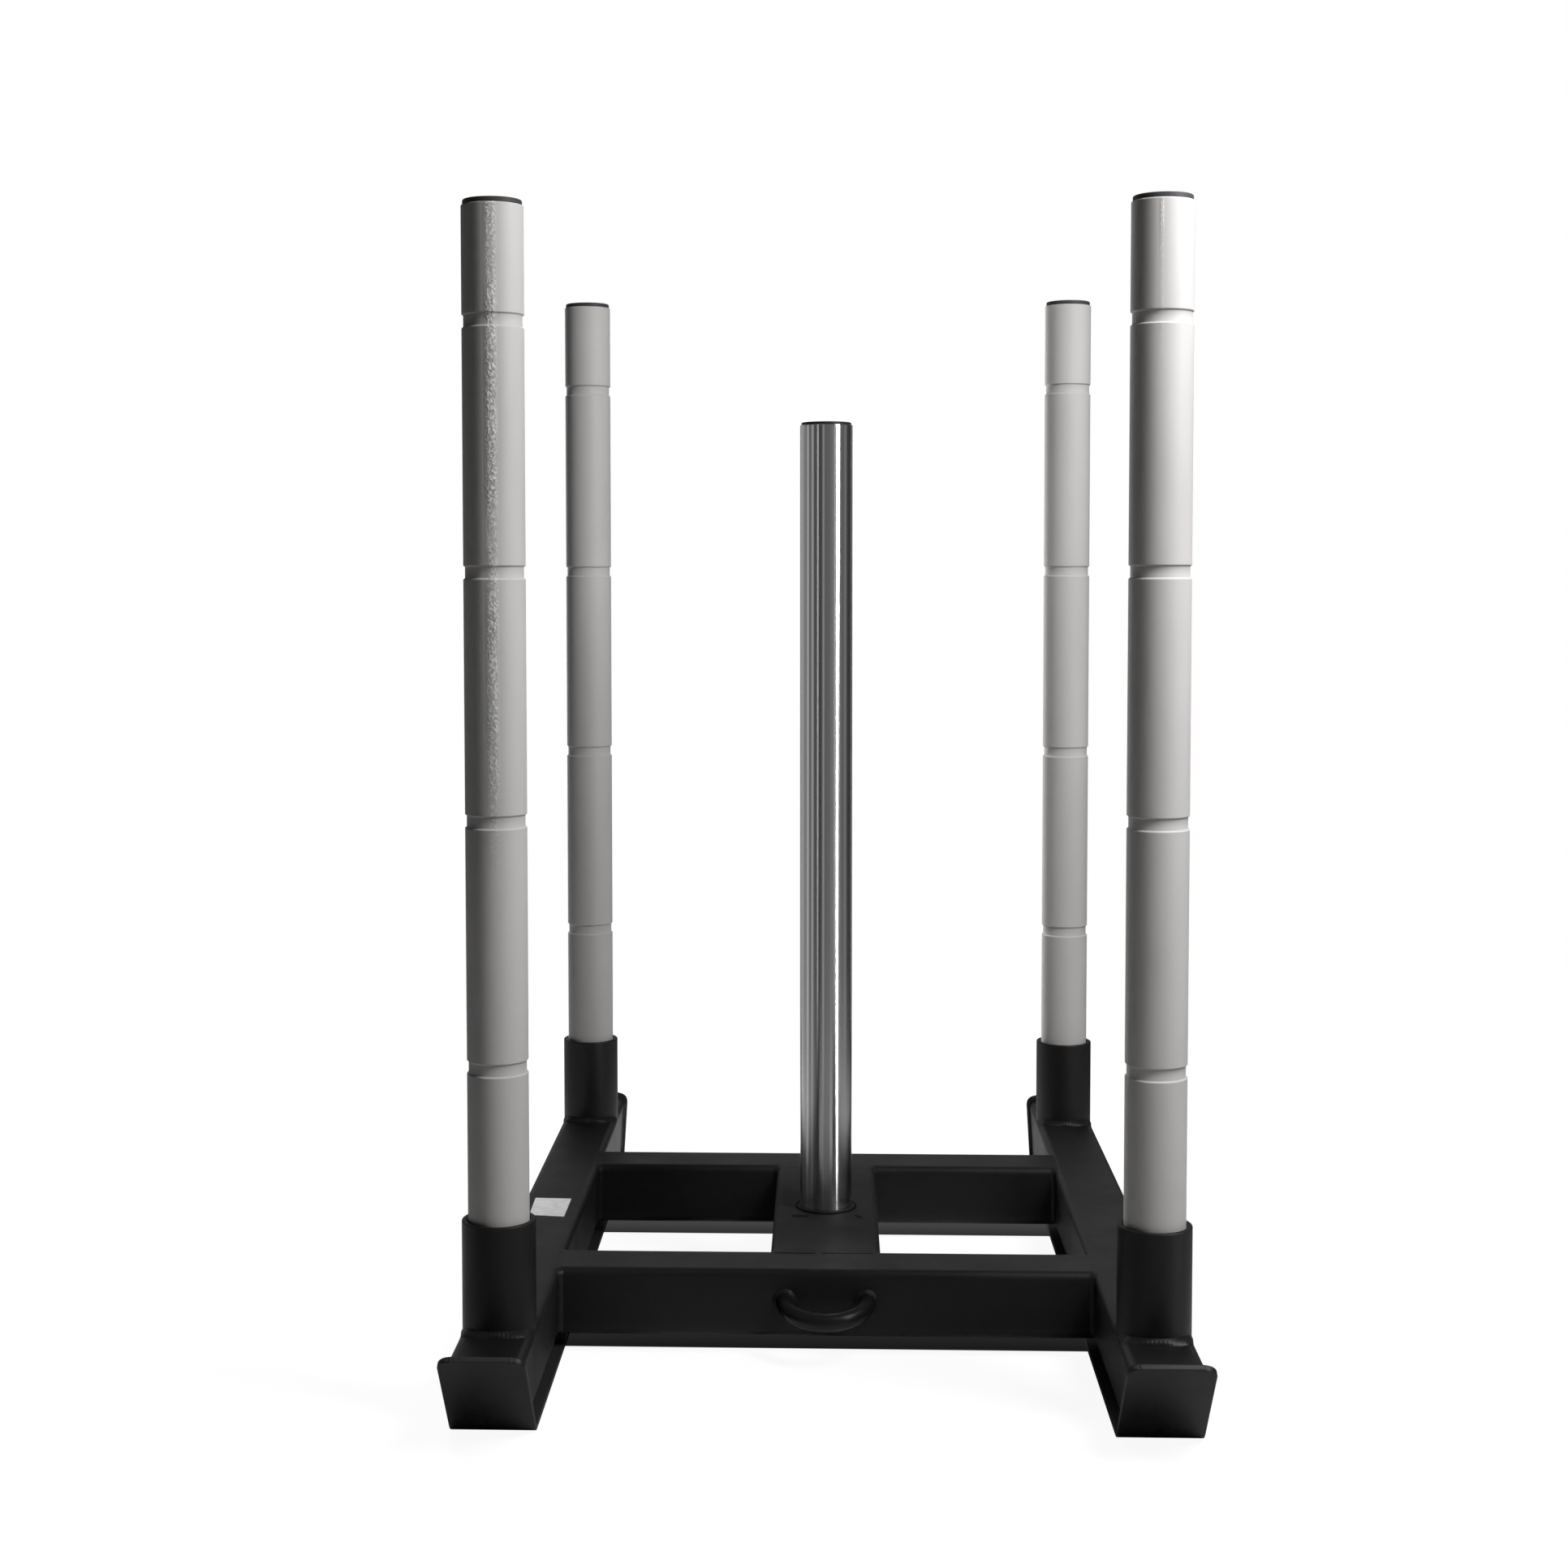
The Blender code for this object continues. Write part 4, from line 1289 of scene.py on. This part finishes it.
# %% [markdown]
# The floor is white paper that was cut out around the sled: it is white right up to the skis, and
# only the narrow strips under the crossmembers stay dark. A lit matt floor alone would show every
# soft shadow, so for the camera most of the paper's light is its own. Where a crossmember hides the
# lamps, a strip between the rails, there is only a dim glow that grows towards the back. The rest
# is matt too and keeps the faint cast shadows. Away from the sled all fades into plain white.

# %% Paper for the camera
FLOOR_OWN = 0.93                       # of white, the paper's own light
FLOOR_MATT = 0.11
STRIP_START = -0.0085                  # the dark strip's edges, from a crossmember's middle
STRIP_END = 0.050
STRIP_EDGE_SOFT = 0.0015
STRIP_END_SOFT = 0.030
STRIP_SIDE_SOFT = 0.004
STRIP_GLOW = {"front": (0.0100, 0.019), "rear": (0.029, 0.056)}
GLOW_REACH = 0.035                     # from the strip's start, the glow grows this far
FADE_START, FADE_END = 0.7, 1.5


def hidden_strip(x, y, middle):
    """1 on the strip of floor that a crossmember hides from the lamp: a product of three ramps."""
    start = middle + STRIP_START
    end = middle + STRIP_END
    return ramp_product(1.0, (y, start - STRIP_EDGE_SOFT, start),
                        (y, end + STRIP_END_SOFT, end),
                        (combine("ABSOLUTE", x), rail_face + STRIP_SIDE_SOFT, rail_face))


def paper_for_camera(x, y, away):
    """The paper's own light, less and growing in the hidden strips, plus a matt part elsewhere."""
    strips = {end: hidden_strip(x, y, cross_y[end]) for end in ENDS}
    hidden = combine("ADD", *strips.values())
    own = spread(hidden, 0.0, 1.0, FLOOR_OWN, 0.0)
    for end, strip in strips.items():
        start = cross_y[end] + STRIP_START
        glow = spread(y, start, start + GLOW_REACH, *STRIP_GLOW[end])
        own = combine("ADD", own, combine("MULTIPLY", strip, glow))
    light = add_node("ShaderNodeEmission", {"Strength": own}).outputs[0]
    matt = add_node("ShaderNodeBsdfDiffuse",
                    {"Color": spread(hidden, 0.0, 1.0, FLOOR_MATT, 0.0)}).outputs[0]
    close = add_node("ShaderNodeAddShader", {0: light, 1: matt}).outputs[0]
    plain_white = add_node("ShaderNodeEmission", {"Strength": 1.0}, away.id_data).outputs[0]
    return mix_shaders(spread(away, FADE_START, FADE_END), close, plain_white)


# %% [markdown]
# For matt bounces the same plane is a quiet grey floor. Shiny surfaces see it too, darker beside
# the rails and in front of the sled's middle, and farther away it shows the uprights of the room.

# %% Floor
FLOOR_HALF = 6.0
FLOOR_BOUNCE = 0.48
FLOOR_GLOSS = 0.60                     # the near floor as shiny surfaces see it
RAIL_SHADE = 0.60                      # part of that light lost beside the rails
FOOT_SHADE = 0.82                      # and in front of the sled's middle
RAIL_INNER, RAIL_OUTER, RAIL_END = (0.14, 0.18), (0.30, 0.24), (0.40, 0.32)      # ramps in metres
FOOT_SIDE, FOOT_START, FOOT_END = (0.17, 0.11), (-0.70, -0.56), (-0.32, -0.38)
NEAR_START, NEAR_END = 0.5, 1.0


def floor_in_shine(x, y):
    """The near floor's brightness for shiny surfaces, less the two shades."""
    across = combine("ABSOLUTE", x)
    beside = ramp_product(RAIL_SHADE, (across, *RAIL_INNER), (across, *RAIL_OUTER),
                          (combine("ABSOLUTE", y), *RAIL_END))
    ahead = ramp_product(FOOT_SHADE, (across, *FOOT_SIDE), (y, *FOOT_START), (y, *FOOT_END))
    return combine("MULTIPLY", combine("SUBTRACT", 1.0, beside, ahead), FLOOR_GLOSS)


def make_floor_finish():
    """Paper for the camera, a matt grey floor for matt rays, and the room's uprights far away."""
    material = bpy.data.materials.new("pale_floor")
    material.use_nodes = True
    tree = material.node_tree
    tree.nodes.clear()
    place = add_node("ShaderNodeTexCoord", {}, tree).outputs["Object"]
    x, y, _ = axes(place)
    away = add_node("ShaderNodeVectorMath", {0: place}, operation="LENGTH").outputs["Value"]
    kind = add_node("ShaderNodeLightPath", {}, tree).outputs
    grey = add_node("ShaderNodeMix", {"Factor": kind["Is Glossy Ray"], "A": FLOOR_BOUNCE,
                                      "B": floor_in_shine(x, y)}).outputs["Result"]
    plain = add_node("ShaderNodeBsdfDiffuse", {"Color": grey}).outputs[0]
    room = add_node("ShaderNodeEmission", {"Strength": room_round(x, y)}).outputs[0]
    far = ramp_product(kind["Is Glossy Ray"], (away, NEAR_START, NEAR_END))
    both = mix_shaders(kind["Is Camera Ray"], mix_shaders(far, plain, room),
                       paper_for_camera(x, y, away))
    add_node("ShaderNodeOutputMaterial", {"Surface": both})
    return material


corners = np.array([(-1, -1, 0), (1, -1, 0), (1, 1, 0), (-1, 1, 0)], float) * FLOOR_HALF
floor_mesh = bpy.data.meshes.new("floor")
floor_mesh.from_pydata(corners.tolist(), [], [(0, 1, 2, 3)])
floor_mesh.materials.append(make_floor_finish())
floor = bpy.data.objects.new("floor", floor_mesh)
bpy.context.scene.collection.objects.link(floor)
print("floor", 2 * FLOOR_HALF, "m across")

# %% [markdown]
# Last come the view settings. Standard keeps colours as they are written.

# %% View settings
bpy.context.scene.view_settings.view_transform = "Standard"
